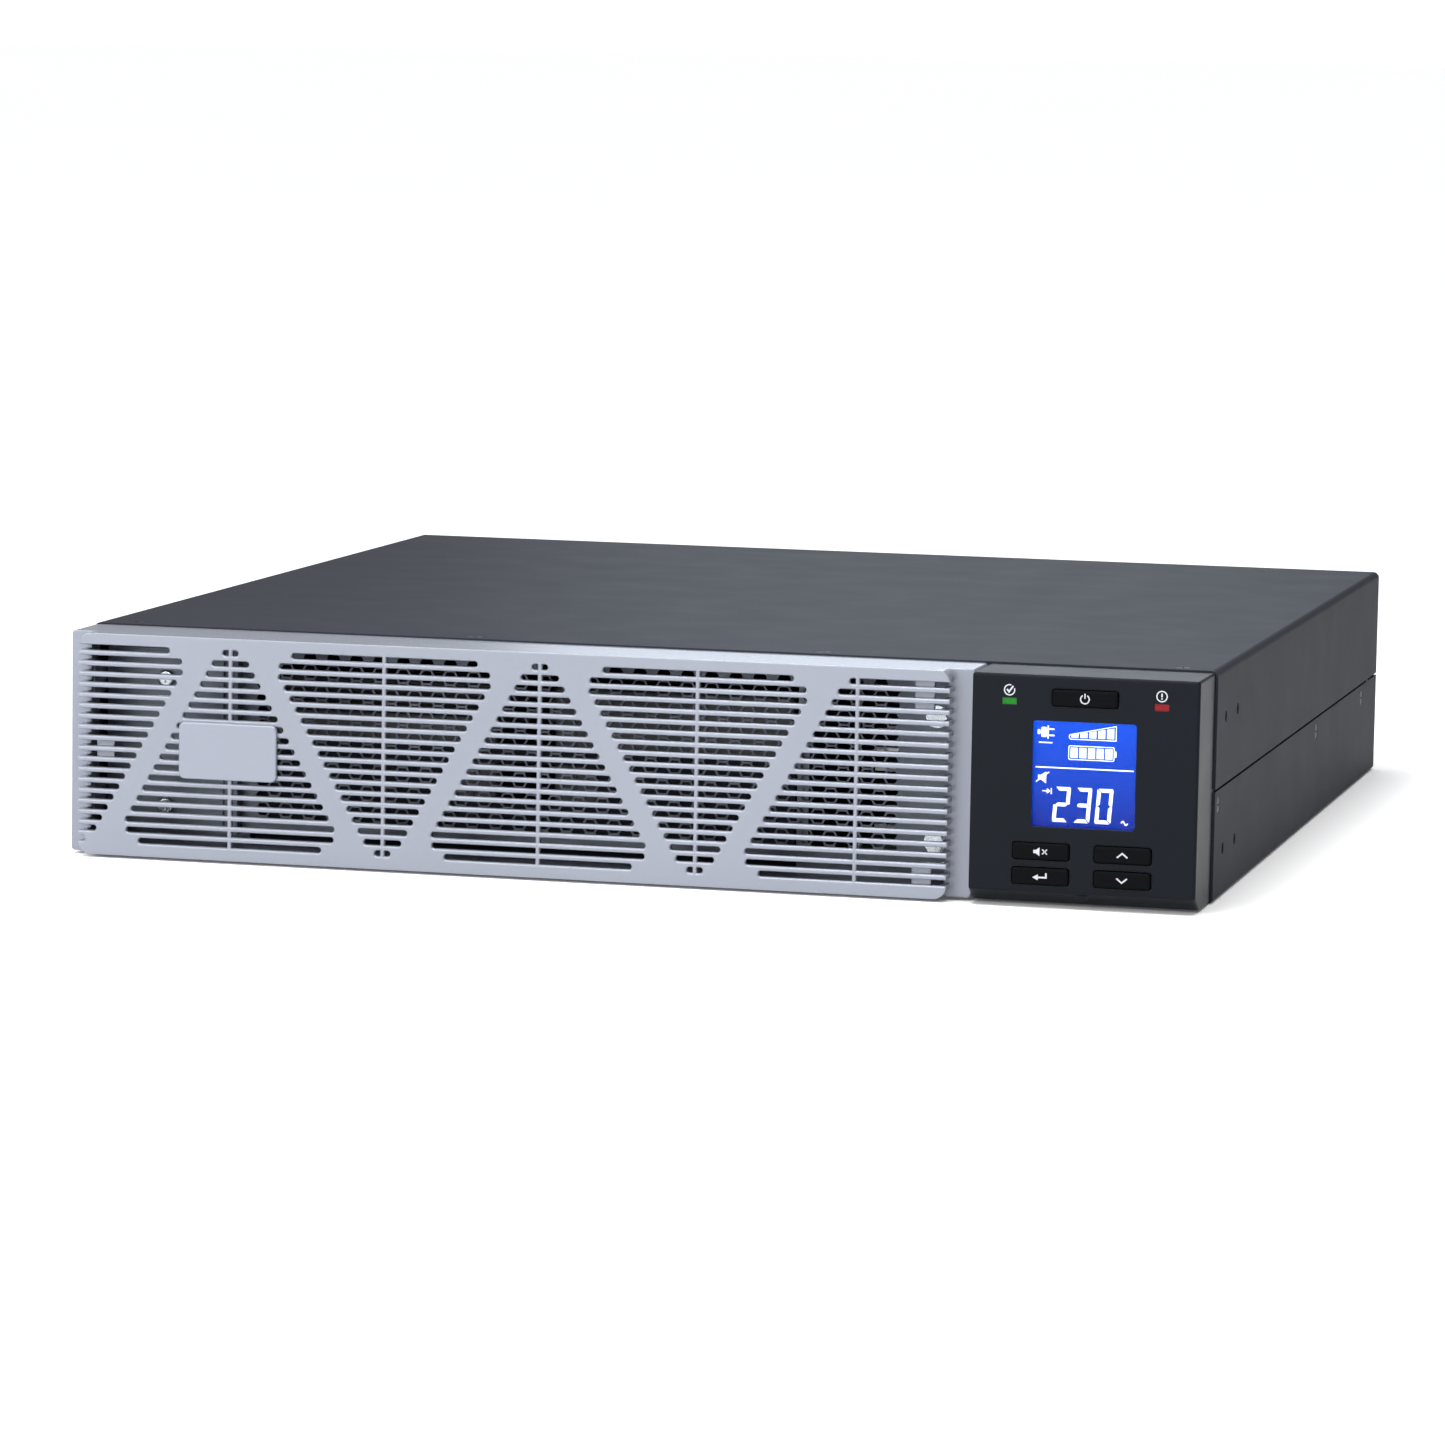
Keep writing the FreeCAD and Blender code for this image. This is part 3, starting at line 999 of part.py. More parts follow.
def fan_guard():
    """Wire guard outside the rear panel: rings on two crossing wires that end in eyes."""
    y = REAR + 2.3
    rings = [Part.makeTorus(radius, 0.8, Vector(FAN_X, y, FAN_Z), Vector(0, 1, 0))
             for radius in (12, 20, 28, 36)]
    reach = FAN_HOLE * math.sqrt(2) - 3.2
    wires = []
    eyes = []
    for i, j in ((1, 1), (1, -1), (-1, 1), (-1, -1)):
        direction = Vector(i, 0, j).normalize()
        start = Vector(FAN_X, y - 1.2, FAN_Z)
        wires.append(Part.makeCylinder(0.8, reach, start + direction * 8.0, direction).common(
            box(FAN_X - 60, FAN_X + 60, y - 3, y + 3, 0, CASE_HEIGHT)))
        eye = (FAN_X + i * FAN_HOLE, REAR, FAN_Z + j * FAN_HOLE)
        eyes.append(rod(3.9, 1.9, eye, (0, 1, 0)).cut(rod(2.0, 3, (eye[0], REAR - 0.5, eye[2]), (0, 1, 0))))
    trimmed = [wire.cut([rod(2.0, 4, (FAN_X + i * FAN_HOLE, REAR - 1, FAN_Z + j * FAN_HOLE), (0, 1, 0))
                         for i in (-1, 1) for j in (-1, 1)]) for wire in wires]
    centre = Part.makeTorus(8.0, 0.8, Vector(FAN_X, y - 1.2, FAN_Z), Vector(0, 1, 0))
    return centre.fuse(rings + trimmed + eyes)


def fan_screws():
    return [pan_screw((FAN_X + i * FAN_HOLE, REAR + 1.9, FAN_Z + j * FAN_HOLE), (0, 1, 0), 3.4, 2.2, 9.0, 1.6)
            for i in (-1, 1) for j in (-1, 1)]


# ---------------------------------------------------------------- build everything
def build():
    os.makedirs("parts", exist_ok=True)
    parts = {
        "chassis_base": chassis_base(), "top_cover": top_cover(), "rear_panel": rear_panel(),
        "front_bulkhead": front_bulkhead(), "bay_divider": bay_divider(), "rack_ear_nuts": ear_nuts(),
        "case_screws": case_screws(), "pan_screws": pan_screws(), "hex_screws": hex_screws(),
        "battery_door": battery_door(), "connector_cover": connector_cover(),
        "front_bezel": front_bezel(), "badge_plate": badge_plate(),
        "panel_housing": panel_housing(), "panel_back_cover": panel_back_cover(),
        "lcd_window": lcd_window(), "lcd_module": lcd_module(),
        "ready_light": light_pipe(-1), "fault_light": light_pipe(1),
        "panel_board": panel_board(), "panel_ribbon": panel_ribbon(),
        "battery_tray": battery_tray(), "battery_strap": battery_strap(),
        "battery_links": battery_links(),
        "battery_leads": battery_leads(), "battery_plug": battery_plug(),
        "battery_socket": battery_socket(), "inverter_leads": inverter_leads(),
        "main_board": main_board(), "board_standoffs": board_standoffs(), "board_screws": board_screws(),
        "heatsinks": [heatsink(SINK_X[0], 1, FRONT + 60, FRONT + 298, 8),
                      heatsink(SINK_X[1], -1, FRONT + 60, FRONT + 240, 6)],
        "power_transistors": power_transistors(), "bus_capacitors": bus_capacitors(),
        "choke_cores": choke_cores(), "choke_windings": choke_windings(),
        "charger_transformer": charger_transformer(), "transfer_relays": transfer_relays(),
        "control_board": control_board(), "filter_board": filter_board(),
        "fan_housing": fan_housing(), "fan_rotor": fan_rotor(), "fan_guard": fan_guard(),
        "ac_inlet": ac_inlet(), "ac_outlets": [ac_outlet(x, z) for x in OUTLET_X for z in OUTLET_Z],
        "circuit_breaker": circuit_breaker(), "breaker_button": breaker_button(),
        "usb_port": usb_port(), "serial_port": serial_port(), "stop_terminal": stop_terminal(),
        "slot_cover": slot_cover(),
    }
    parts.update({name: key_cap(name) for name in KEYS})
    parts.update({name: battery(*place) for name, place in battery_boxes().items()})
    for name, shapes in parts.items():
        save(name, shapes)


build()
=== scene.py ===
import json
import math

import bmesh
import bpy
from mathutils import Matrix, Vector


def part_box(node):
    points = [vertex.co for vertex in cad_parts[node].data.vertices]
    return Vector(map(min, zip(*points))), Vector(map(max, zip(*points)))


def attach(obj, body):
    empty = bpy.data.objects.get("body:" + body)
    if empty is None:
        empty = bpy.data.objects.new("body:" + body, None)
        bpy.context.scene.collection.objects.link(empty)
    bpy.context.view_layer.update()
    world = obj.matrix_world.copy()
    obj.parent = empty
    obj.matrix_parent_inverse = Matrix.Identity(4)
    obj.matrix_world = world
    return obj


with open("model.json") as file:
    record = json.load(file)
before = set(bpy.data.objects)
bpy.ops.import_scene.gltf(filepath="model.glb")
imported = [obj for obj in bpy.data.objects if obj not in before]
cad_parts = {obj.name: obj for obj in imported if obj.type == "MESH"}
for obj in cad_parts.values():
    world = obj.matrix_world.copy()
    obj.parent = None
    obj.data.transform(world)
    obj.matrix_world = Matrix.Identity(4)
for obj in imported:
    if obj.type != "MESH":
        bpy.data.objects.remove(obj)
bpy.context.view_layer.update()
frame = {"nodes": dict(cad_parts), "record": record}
NODES = frame["nodes"]
MM = 0.001

# Places on the object, in millimetres of the row frame.
FRONT = -212.5
REAR = 212.5
PANEL_FACE = FRONT - 33.0
KEY_FACE = PANEL_FACE - 1.0
LCD_FACE = PANEL_FACE + 2.3
PANEL_X = 175.7
LCD_SIZE = (38.4, 39.0)
LCD_Z = 49.6
LIGHT_X = (147.5, 203.9)
ICON_Z = 79.9
POWER_Z = 77.8
KEY_X = (PANEL_X - 15.2, PANEL_X + 15.2)
KEY_Z = (20.95, 11.8)
FAN = (163.0, 43.25)
FAN_HUB_Y = 208.9
INLET_X = -178.0
EARTH_X = -156.0
OUTLET_FRAME = (-151.5, -42.5, 11.5, 78.5)
OUTLET_RULES_X = (-114.5, -79.5)
INK = 0.05                     # thickness of printed marks


# ---------------------------------------------------------------- materials
class Shader:
    """A principled material whose colour, roughness and bump come from nodes."""

    def __init__(self, name):
        self.material = bpy.data.materials.new(name)
        self.material.use_nodes = True
        self.tree = self.material.node_tree
        self.tree.nodes.clear()
        out = self.add("ShaderNodeOutputMaterial")
        self.bsdf = self.add("ShaderNodeBsdfPrincipled")
        self.link(self.bsdf.outputs[0], out.inputs["Surface"])
        self.place = self.add("ShaderNodeTexCoord").outputs["Object"]

    def add(self, kind, **values):
        node = self.tree.nodes.new(kind)
        for key, value in values.items():
            setattr(node, key, value)
        return node

    def link(self, a, b):
        self.tree.links.new(a, b)

    def put(self, value, socket):
        """Links an output to a socket, or sets the socket to a plain value."""
        if isinstance(value, bpy.types.NodeSocket):
            self.link(value, socket)
        else:
            socket.default_value = value

    def scaled(self, factors):
        node = self.add("ShaderNodeMapping")
        node.inputs["Scale"].default_value = factors
        self.link(self.place, node.inputs["Vector"])
        return node.outputs[0]

    def noise(self, scale, detail=2.0, roughness=0.5, place=None):
        node = self.add("ShaderNodeTexNoise")
        self.link(place or self.place, node.inputs["Vector"])
        node.inputs["Scale"].default_value = scale
        node.inputs["Detail"].default_value = detail
        node.inputs["Roughness"].default_value = roughness
        return node.outputs[0]

    def cells(self, scale):
        node = self.add("ShaderNodeTexVoronoi")
        self.link(self.place, node.inputs["Vector"])
        node.inputs["Scale"].default_value = scale
        return node.outputs["Distance"]

    def remap(self, value, low, high, to_low, to_high):
        node = self.add("ShaderNodeMapRange")
        self.link(value, node.inputs["Value"])
        for key, number in (("From Min", low), ("From Max", high), ("To Min", to_low), ("To Max", to_high)):
            node.inputs[key].default_value = number
        return node.outputs["Result"]

    def math(self, operation, a, b=0.0):
        node = self.add("ShaderNodeMath", operation=operation)
        self.put(a, node.inputs[0])
        self.put(b, node.inputs[1])
        return node.outputs[0]

    def mix(self, factor, a, b):
        node = self.add("ShaderNodeMix", data_type="RGBA")
        self.put(factor, node.inputs["Factor"])
        for value, socket in ((a, node.inputs[6]), (b, node.inputs[7])):
            self.put(value if isinstance(value, bpy.types.NodeSocket) else (*value, 1.0), socket)
        return node.outputs[2]

    def axis(self, index):
        node = self.add("ShaderNodeSeparateXYZ")
        self.link(self.place, node.inputs[0])
        return node.outputs[index]

    def edges(self, radius):
        """1 along edges, where the Bevel node rounds them, for a painted highlight; 0 on flat faces."""
        bevel = self.add("ShaderNodeBevel", samples=4)
        bevel.inputs["Radius"].default_value = radius
        facing = self.add("ShaderNodeNewGeometry").outputs["Normal"]
        dot = self.add("ShaderNodeVectorMath", operation="DOT_PRODUCT")
        self.link(bevel.outputs[0], dot.inputs[0])
        self.link(facing, dot.inputs[1])
        return self.remap(self.math("SUBTRACT", 1.0, dot.outputs["Value"]), 0.02, 0.35, 0.0, 1.0)

    def rounded(self, radius):
        """Normals that turn smoothly over each edge, as a sprayed or moulded edge does."""
        bevel = self.add("ShaderNodeBevel", samples=6)
        bevel.inputs["Radius"].default_value = radius
        return bevel.outputs[0]

    def bump(self, height, strength, distance, under=None):
        node = self.add("ShaderNodeBump")
        node.inputs["Strength"].default_value = strength
        node.inputs["Distance"].default_value = distance
        self.link(height, node.inputs["Height"])
        if under is not None:
            self.link(under, node.inputs["Normal"])
        return node.outputs[0]

    def set(self, **values):
        names = {"colour": "Base Color", "roughness": "Roughness", "metallic": "Metallic", "normal": "Normal",
                 "specular": "Specular IOR Level", "coat": "Coat Weight", "coat_roughness": "Coat Roughness",
                 "transmission": "Transmission Weight", "ior": "IOR", "glow": "Emission Color",
                 "glow_strength": "Emission Strength"}
        for key, value in values.items():
            socket = self.bsdf.inputs[names[key]]
            if key in ("colour", "glow") and not isinstance(value, bpy.types.NodeSocket):
                value = (*value, 1.0)
            self.put(value, socket)
        return self.material


def shade(colour, factor):
    return tuple(min(1.0, c * factor) for c in colour)


def grained(name, colour, roughness, grain, bump, depth, mottle=14.0, tint=0.08, metallic=0.0,
            specular=0.5, edge_highlight=None, edge_highlight_radius=0.0004, coat=0.0, spread=0.06, fleck=None, soft=0.0):
    """Painted or moulded surface: cloudy tint, fine grain in colour and bump, a painted highlight along edges,
    and rounded edges.
    """
    s = Shader(name)
    cloud = s.remap(s.noise(mottle, 3.0, 0.55), 0.3, 0.7, 0.0, 1.0)
    base = s.mix(cloud, shade(colour, 1 - tint), shade(colour, 1 + tint))
    fine = s.noise(grain, 2.0, 0.6)
    speck = s.mix(s.remap(fine, 0.35, 0.65, 0.0, 0.5), base, shade(colour, 1 + (fleck or 2.2 * tint)))
    # A lighter colour along the edges, broken into patches, is a painted highlight.
    if edge_highlight is not None:
        patchy = s.remap(s.noise(260.0, 2.0, 0.6), 0.25, 0.75, 0.35, 1.0)
        speck = s.mix(s.math("MULTIPLY", s.edges(edge_highlight_radius), patchy), speck, edge_highlight)
    rough = s.remap(s.math("ADD", s.noise(mottle * 4.0, 2.0), s.math("MULTIPLY", fine, 0.5)),
                    0.5, 1.0, roughness - spread, roughness + spread)
    return s.set(colour=speck, roughness=rough, metallic=metallic, specular=specular, coat=coat,
                 coat_roughness=0.25, normal=s.bump(fine, bump, depth, s.rounded(soft) if soft else None))


def brushed(name, colour, roughness, along, metallic=1.0, spangle=0.0):
    """Rolled or drawn metal: fine lines along one direction, with cloudy stains."""
    s = Shader(name)
    stretch = [1400.0, 1400.0, 1400.0]
    stretch[along] = 14.0
    lines = s.noise(1.0, 3.0, 0.65, s.scaled(stretch))
    cloud = s.remap(s.noise(22.0, 3.0, 0.6), 0.3, 0.7, 0.0, 1.0)
    base = s.mix(cloud, shade(colour, 0.86), shade(colour, 1.1))
    base = s.mix(s.remap(lines, 0.35, 0.65, 0.0, 0.35), base, shade(colour, 0.7))
    if spangle:
        flakes = s.remap(s.cells(spangle), 0.0, 0.7, 0.0, 0.35)
        base = s.mix(flakes, base, shade(colour, 1.25))
    rough = s.remap(lines, 0.3, 0.7, roughness - 0.08, roughness + 0.1)
    return s.set(colour=base, roughness=rough, metallic=metallic, normal=s.bump(lines, 0.12, 0.00003))


def board_mask(name, colour, trace):
    """Circuit board: square-cornered copper runs under solder mask, with small plated holes."""
    s = Shader(name)
    brick = s.add("ShaderNodeTexBrick")
    s.link(s.place, brick.inputs["Vector"])
    brick.inputs["Scale"].default_value = 90.0
    brick.inputs["Mortar Size"].default_value = 0.03
    brick.inputs["Color1"].default_value = (0.0, 0.0, 0.0, 1.0)
    brick.inputs["Color2"].default_value = (0.25, 0.25, 0.25, 1.0)
    brick.inputs["Mortar"].default_value = (1.0, 1.0, 1.0, 1.0)
    run = s.math("MULTIPLY", brick.outputs["Fac"], s.remap(s.noise(45.0, 1.0), 0.4, 0.5, 0.0, 1.0))
    dots = s.remap(s.cells(260.0), 0.14, 0.18, 1.0, 0.0)
    base = s.mix(s.remap(s.noise(30.0), 0.3, 0.7, 0.0, 1.0), shade(colour, 0.85), shade(colour, 1.15))
    base = s.mix(run, base, trace)
    base = s.mix(s.math("MULTIPLY", dots, 0.8), base, (0.55, 0.5, 0.36))
    return s.set(colour=base, roughness=0.38, specular=0.5, normal=s.bump(run, 0.3, 0.00005))


def lit_display():
    """Blue backlit display: brighter at its top and upper right, dark plastic behind its front glass."""
    s = Shader("display_blue")
    height = s.remap(s.axis(2), 0.030, 0.069, 0.0, 1.0)
    base = s.mix(height, (0.0005, 0.010, 0.27), (0.002, 0.098, 0.96))
    cloud = s.remap(s.noise(55.0, 2.0, 0.5), 0.35, 0.65, 0.0, 0.22)
    base = s.mix(cloud, base, (0.002, 0.068, 0.66))
    front = s.math("LESS_THAN", s.axis(1), (LCD_FACE + 0.2) * MM)
    colour = s.mix(front, (0.02, 0.02, 0.022), (0.002, 0.01, 0.08))
    return s.set(colour=colour, roughness=s.remap(s.noise(900.0), 0.3, 0.7, 0.35, 0.45), glow=base,
                 specular=0.08, glow_strength=s.math("MULTIPLY", front, 0.92))


def light_pipe(name, colour, glow, strength):
    """Diffusing light pipe with a brighter heart."""
    s = Shader(name)
    cloud = s.remap(s.noise(420.0, 2.0), 0.3, 0.7, 0.0, 1.0)
    base = s.mix(cloud, shade(colour, 0.8), colour)
    shine = s.mix(cloud, shade(glow, 0.75), glow)
    return s.set(colour=base, roughness=0.3, specular=0.15, glow=shine, glow_strength=strength,
                 normal=s.bump(s.noise(1500.0), 0.1, 0.00003))


def clear_window():
    s = Shader("clear_window")
    smear = s.remap(s.noise(70.0, 3.0, 0.6), 0.3, 0.7, 0.01, 0.05)
    tint = s.mix(s.noise(40.0), (0.96, 0.98, 1.0), (1.0, 1.0, 1.0))
    return s.set(colour=tint, roughness=smear, transmission=1.0, ior=1.12, specular=0.3)


def ink(name, colour, glow=0.0):
    s = Shader(name)
    grain = s.noise(1800.0, 2.0)
    base = s.mix(s.remap(grain, 0.3, 0.7, 0.0, 1.0), shade(colour, 0.9), colour)
    return s.set(colour=base, roughness=s.remap(grain, 0.3, 0.7, 0.45, 0.6), specular=0.3,
                 glow=base, glow_strength=glow)


PAINT = (0.0245, 0.027, 0.034)
SILVER = (0.230, 0.246, 0.289)
# The lighter edge colours given to these materials are painted highlights along their edges.
MATERIALS = {
    "case_paint": grained("case_powder_coat", PAINT, 0.47, 1500.0, 0.35, 0.00006, 9.0, 0.03, specular=0.012,
                          edge_highlight=(0.065, 0.07, 0.085), edge_highlight_radius=0.0006, spread=0.02, fleck=0.3, soft=0.0005),
    # Zinc steel colour darkened far below bare zinc, as painted shade for the inside of the case seen through
    # the bezel.
    "zinc_steel": brushed("zinc_steel_painted_shade", (0.13, 0.145, 0.175), 0.40, 0, 0.7, 160.0),
    "bezel_silver": grained("bezel_silver_paint", SILVER, 0.24, 3200.0, 0.10, 0.00003, 7.0, 0.03,
                            metallic=0.30, specular=0.20, edge_highlight=(0.66, 0.68, 0.74), edge_highlight_radius=0.00035,
                            spread=0.02, soft=0.0008),
    "badge_satin": grained("badge_satin_silver", (0.24, 0.256, 0.302), 0.26, 3600.0, 0.06, 0.00003, 20.0,
                           0.02, metallic=0.35, specular=0.2, spread=0.005, soft=0.0006),
    "panel_black": grained("panel_textured_black", (0.0042, 0.0060, 0.0090), 0.40, 2100.0, 0.30, 0.00005,
                           12.0, 0.06, specular=0.08, edge_highlight=(0.07, 0.075, 0.085), edge_highlight_radius=0.0004, spread=0.02,
                           soft=0.0008),
    "key_black": grained("key_soft_black", (0.0026, 0.0029, 0.0036), 0.50, 2600.0, 0.20, 0.00004, 60.0, 0.08,
                         specular=0.03, edge_highlight=(0.015, 0.016, 0.02), edge_highlight_radius=0.0004, spread=0.02,
                         soft=0.0010),
    "clear_window": clear_window(),
    "display_glass": lit_display(),
    "light_green": light_pipe("light_green", (0.008, 0.13, 0.010), (0.02, 0.45, 0.02), 0.16),
    "light_red": light_pipe("light_red", (0.17, 0.006, 0.008), (0.6, 0.01, 0.015), 0.16),
    "board_green": board_mask("board_green", (0.012, 0.11, 0.04), (0.03, 0.20, 0.08)),
    "black_plastic": grained("moulded_black", (0.018, 0.018, 0.020), 0.42, 1700.0, 0.25, 0.00005, 16.0, 0.10,
                             specular=0.4, edge_highlight=(0.05, 0.05, 0.055), edge_highlight_radius=0.0004),
    "screw_black": grained("black_zinc_screw", (0.014, 0.014, 0.017), 0.42, 2400.0, 0.25, 0.00004, 120.0, 0.2,
                           metallic=0.2, specular=0.08, edge_highlight=(0.09, 0.09, 0.10), edge_highlight_radius=0.0002),
    "screw_bright": grained("bright_zinc_screw", (0.62, 0.66, 0.70), 0.25, 1800.0, 0.15, 0.00003, 150.0, 0.12,
                            metallic=1.0, edge_highlight=(0.9, 0.92, 0.95), edge_highlight_radius=0.0002),
    "battery_case": grained("battery_case", (0.060, 0.064, 0.070), 0.48, 1200.0, 0.30, 0.00006, 18.0, 0.10,
                            edge_highlight=(0.12, 0.12, 0.13), edge_highlight_radius=0.0008),
    "lead_rubber": grained("lead_insulation", (0.030, 0.028, 0.027), 0.45, 900.0, 0.20, 0.00006, 40.0, 0.15,
                           specular=0.4),
    "connector_grey": grained("connector_grey", (0.26, 0.27, 0.285), 0.48, 1500.0, 0.2, 0.00005, 40.0, 0.08,
                              edge_highlight=(0.4, 0.41, 0.43), edge_highlight_radius=0.0004),
    "fin_aluminium": brushed("extruded_aluminium", (0.70, 0.71, 0.73), 0.32, 1),
    "can_sleeve": grained("capacitor_sleeve", (0.022, 0.028, 0.060), 0.28, 700.0, 0.15, 0.00008, 50.0, 0.15,
                          coat=0.3),
    "ferrite": grained("coated_ferrite", (0.26, 0.22, 0.07), 0.55, 800.0, 0.4, 0.00010, 70.0, 0.18),
    "copper_wire": brushed("enamelled_copper", (0.62, 0.26, 0.10), 0.28, 2),
    "relay_blue": grained("relay_case", (0.030, 0.085, 0.26), 0.38, 1600.0, 0.2, 0.00005, 45.0, 0.10,
                          edge_highlight=(0.07, 0.15, 0.36), edge_highlight_radius=0.0004),
    "guard_wire": brushed("nickel_plate", (0.58, 0.59, 0.61), 0.24, 2),
    "terminal_green": grained("terminal_green", (0.030, 0.24, 0.090), 0.45, 1500.0, 0.2, 0.00005, 50.0, 0.10,
                              edge_highlight=(0.08, 0.36, 0.16), edge_highlight_radius=0.0004),
}
PRINT_WHITE = ink("panel_print", (0.48, 0.50, 0.53))
LCD_WHITE = ink("display_segments", (0.80, 0.86, 1.0), 0.95)
LCD_PALE = ink("display_cells", (0.62, 0.74, 1.0), 0.80)
LABEL_GREY = ink("label_print", (0.42, 0.43, 0.45))


for entry in frame["record"]["subparts"]:
    slots = NODES[entry["node"]].data.materials
    slots.clear()
    slots.append(MATERIALS[entry["material_slot"]])


# ---------------------------------------------------------------- flat marks
def arc(x, z, radius, start, end, steps=28):
    """Points on an arc, angles in degrees, counted from +X towards +Z."""
    angles = [math.radians(start + (end - start) * k / steps) for k in range(steps + 1)]
    return [(x + radius * math.cos(a), z + radius * math.sin(a)) for a in angles]


def stroke(points, width, closed=False):
    """Quads of a line of constant width with mitred corners."""
    count = len(points)
    sides = []
    for k, point in enumerate(points):
        here = Vector(point)
        before = Vector(points[k - 1]) if closed or k > 0 else None
        after = Vector(points[(k + 1) % count]) if closed or k < count - 1 else None
        come = (here - before).normalized() if before is not None else None
        leave = (after - here).normalized() if after is not None else None
        come = come or leave
        leave = leave or come
        normal = Vector((-(come + leave).y, (come + leave).x)).normalized()
        reach = width / 2 / max(0.35, normal.dot(Vector((-come.y, come.x))))
        sides.append((here + normal * reach, here - normal * reach))
    last = count if closed else count - 1
    quads = []
    for k in range(last):
        a, b = sides[k], sides[(k + 1) % count]
        quads.append([a[0], a[1], b[1], b[0]])
    return quads


def rectangle(x0, x1, z0, z1, round_by=0.0):
    if not round_by:
        return [(x0, z0), (x1, z0), (x1, z1), (x0, z1)]
    r = round_by
    return (arc(x1 - r, z0 + r, r, -90, 0, 5) + arc(x1 - r, z1 - r, r, 0, 90, 5)
            + arc(x0 + r, z1 - r, r, 90, 180, 5) + arc(x0 + r, z0 + r, r, 180, 270, 5))


def thin_piece(name, bm, rise, body, material):
    """Gives flat faces a small thickness, and makes them a piece that rides on a body."""
    grown = bmesh.ops.extrude_face_region(bm, geom=bm.faces[:])
    lifted = [g for g in grown["geom"] if isinstance(g, bmesh.types.BMVert)]
    bmesh.ops.translate(bm, verts=lifted, vec=rise)
    bmesh.ops.recalc_face_normals(bm, faces=bm.faces)
    mesh = bpy.data.meshes.new(name)
    bm.to_mesh(mesh)
    bm.free()
    piece = bpy.data.objects.new(name, mesh)
    piece.data.materials.append(material)
    bpy.context.collection.objects.link(piece)
    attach(piece, body)


def marks(name, shapes, y, body, material, depth=INK, facing=-1):
    """Thin printed or lit shapes on the surface at y, facing the front (-1) or the rear (1)."""
    bm = bmesh.new()
    for shape in shapes:
        corners = [bm.verts.new((x * MM, y * MM, z * MM)) for x, z in shape]
        bm.faces.new(corners)
    bmesh.ops.remove_doubles(bm, verts=bm.verts, dist=1e-7)
    thin_piece(name, bm, (0, facing * depth * MM, 0), body, material)


def moved(shapes, dx, dz):
    return [[(x + dx, z + dz) for x, z in shape] for shape in shapes]


def sine_stroke(x0, z, width, swing, steps):
    """One period of a sine wave, for alternating current."""
    points = [(x0 + width * k / steps, z + swing * math.sin(2 * math.pi * k / steps))
              for k in range(steps + 1)]
    return stroke(points, 0.42)


# ---------------------------------------------------------------- panel print
LINE = 0.42                    # line width of the panel's symbols


def check_mark():
    tick = stroke([(-0.95, 0.25), (-0.2, -0.75), (1.35, 1.45)], 0.6)
    return stroke(arc(0, 0, 1.9, 72, 378, 40), LINE) + tick


def alert_mark():
    ring = stroke(arc(0, 0, 1.9, 0, 360, 44)[:-1], LINE, True)
    return ring + [rectangle(-0.28, 0.28, -0.3, 1.1, 0.2), rectangle(-0.28, 0.28, -1.15, -0.62, 0.2)]


def power_mark():
    return stroke(arc(0, -0.1, 1.6, 122, 418, 36), LINE) + stroke([(0, 0.1), (0, 2.0)], LINE)


def speaker_mark():
    """Loudspeaker with a crossed-out cone."""
    body = [[(-2.6, -0.6), (-1.7, -0.6), (-1.7, 0.6), (-2.6, 0.6)],
            [(-1.7, -0.6), (-0.3, -1.6), (-0.3, 1.6), (-1.7, 0.6)]]
    return body + stroke([(0.7, -0.9), (2.5, 0.9)], LINE) + stroke([(0.7, 0.9), (2.5, -0.9)], LINE)


def enter_mark():
    head = [[(-2.8, -0.35), (-0.7, -1.45), (-0.7, 0.75)]]
    return head + stroke([(-0.8, -0.35), (2.3, -0.35), (2.3, 1.35)], 0.62)


def chevron(up):
    return stroke([(-1.95, -0.75 * up), (0, 0.85 * up), (1.95, -0.75 * up)], 0.55)


marks("ready_mark", moved(check_mark(), LIGHT_X[0], ICON_Z), PANEL_FACE, "case", PRINT_WHITE)
marks("fault_mark", moved(alert_mark(), LIGHT_X[1], ICON_Z), PANEL_FACE, "case", PRINT_WHITE)
for key, shapes, x, z in (("power_button", power_mark(), PANEL_X, POWER_Z),
                          ("mute_button", speaker_mark(), KEY_X[0], KEY_Z[0]),
                          ("enter_button", enter_mark(), KEY_X[0], KEY_Z[1]),
                          ("up_button", chevron(1), KEY_X[1], KEY_Z[0]),
                          ("down_button", chevron(-1), KEY_X[1], KEY_Z[1])):
    marks(key.replace("button", "mark"), moved(shapes, x, z), KEY_FACE, key, PRINT_WHITE)

# ---------------------------------------------------------------- display graphics
LCD_LEFT = PANEL_X - LCD_SIZE[0] / 2
LCD_TOP = LCD_Z + LCD_SIZE[1] / 2


def lcd(shapes):
    """Shapes measured right and down from the display's upper left corner, in the row frame."""
    return [[(LCD_LEFT + u, LCD_TOP - v) for u, v in shape] for shape in shapes]


SEGMENTS = {"2": "abged", "3": "abgcd", "0": "abcdef"}
DIGIT_W = 5.9
DIGIT_H = 12.9
SEGMENT = 1.3
LEAN = 0.075


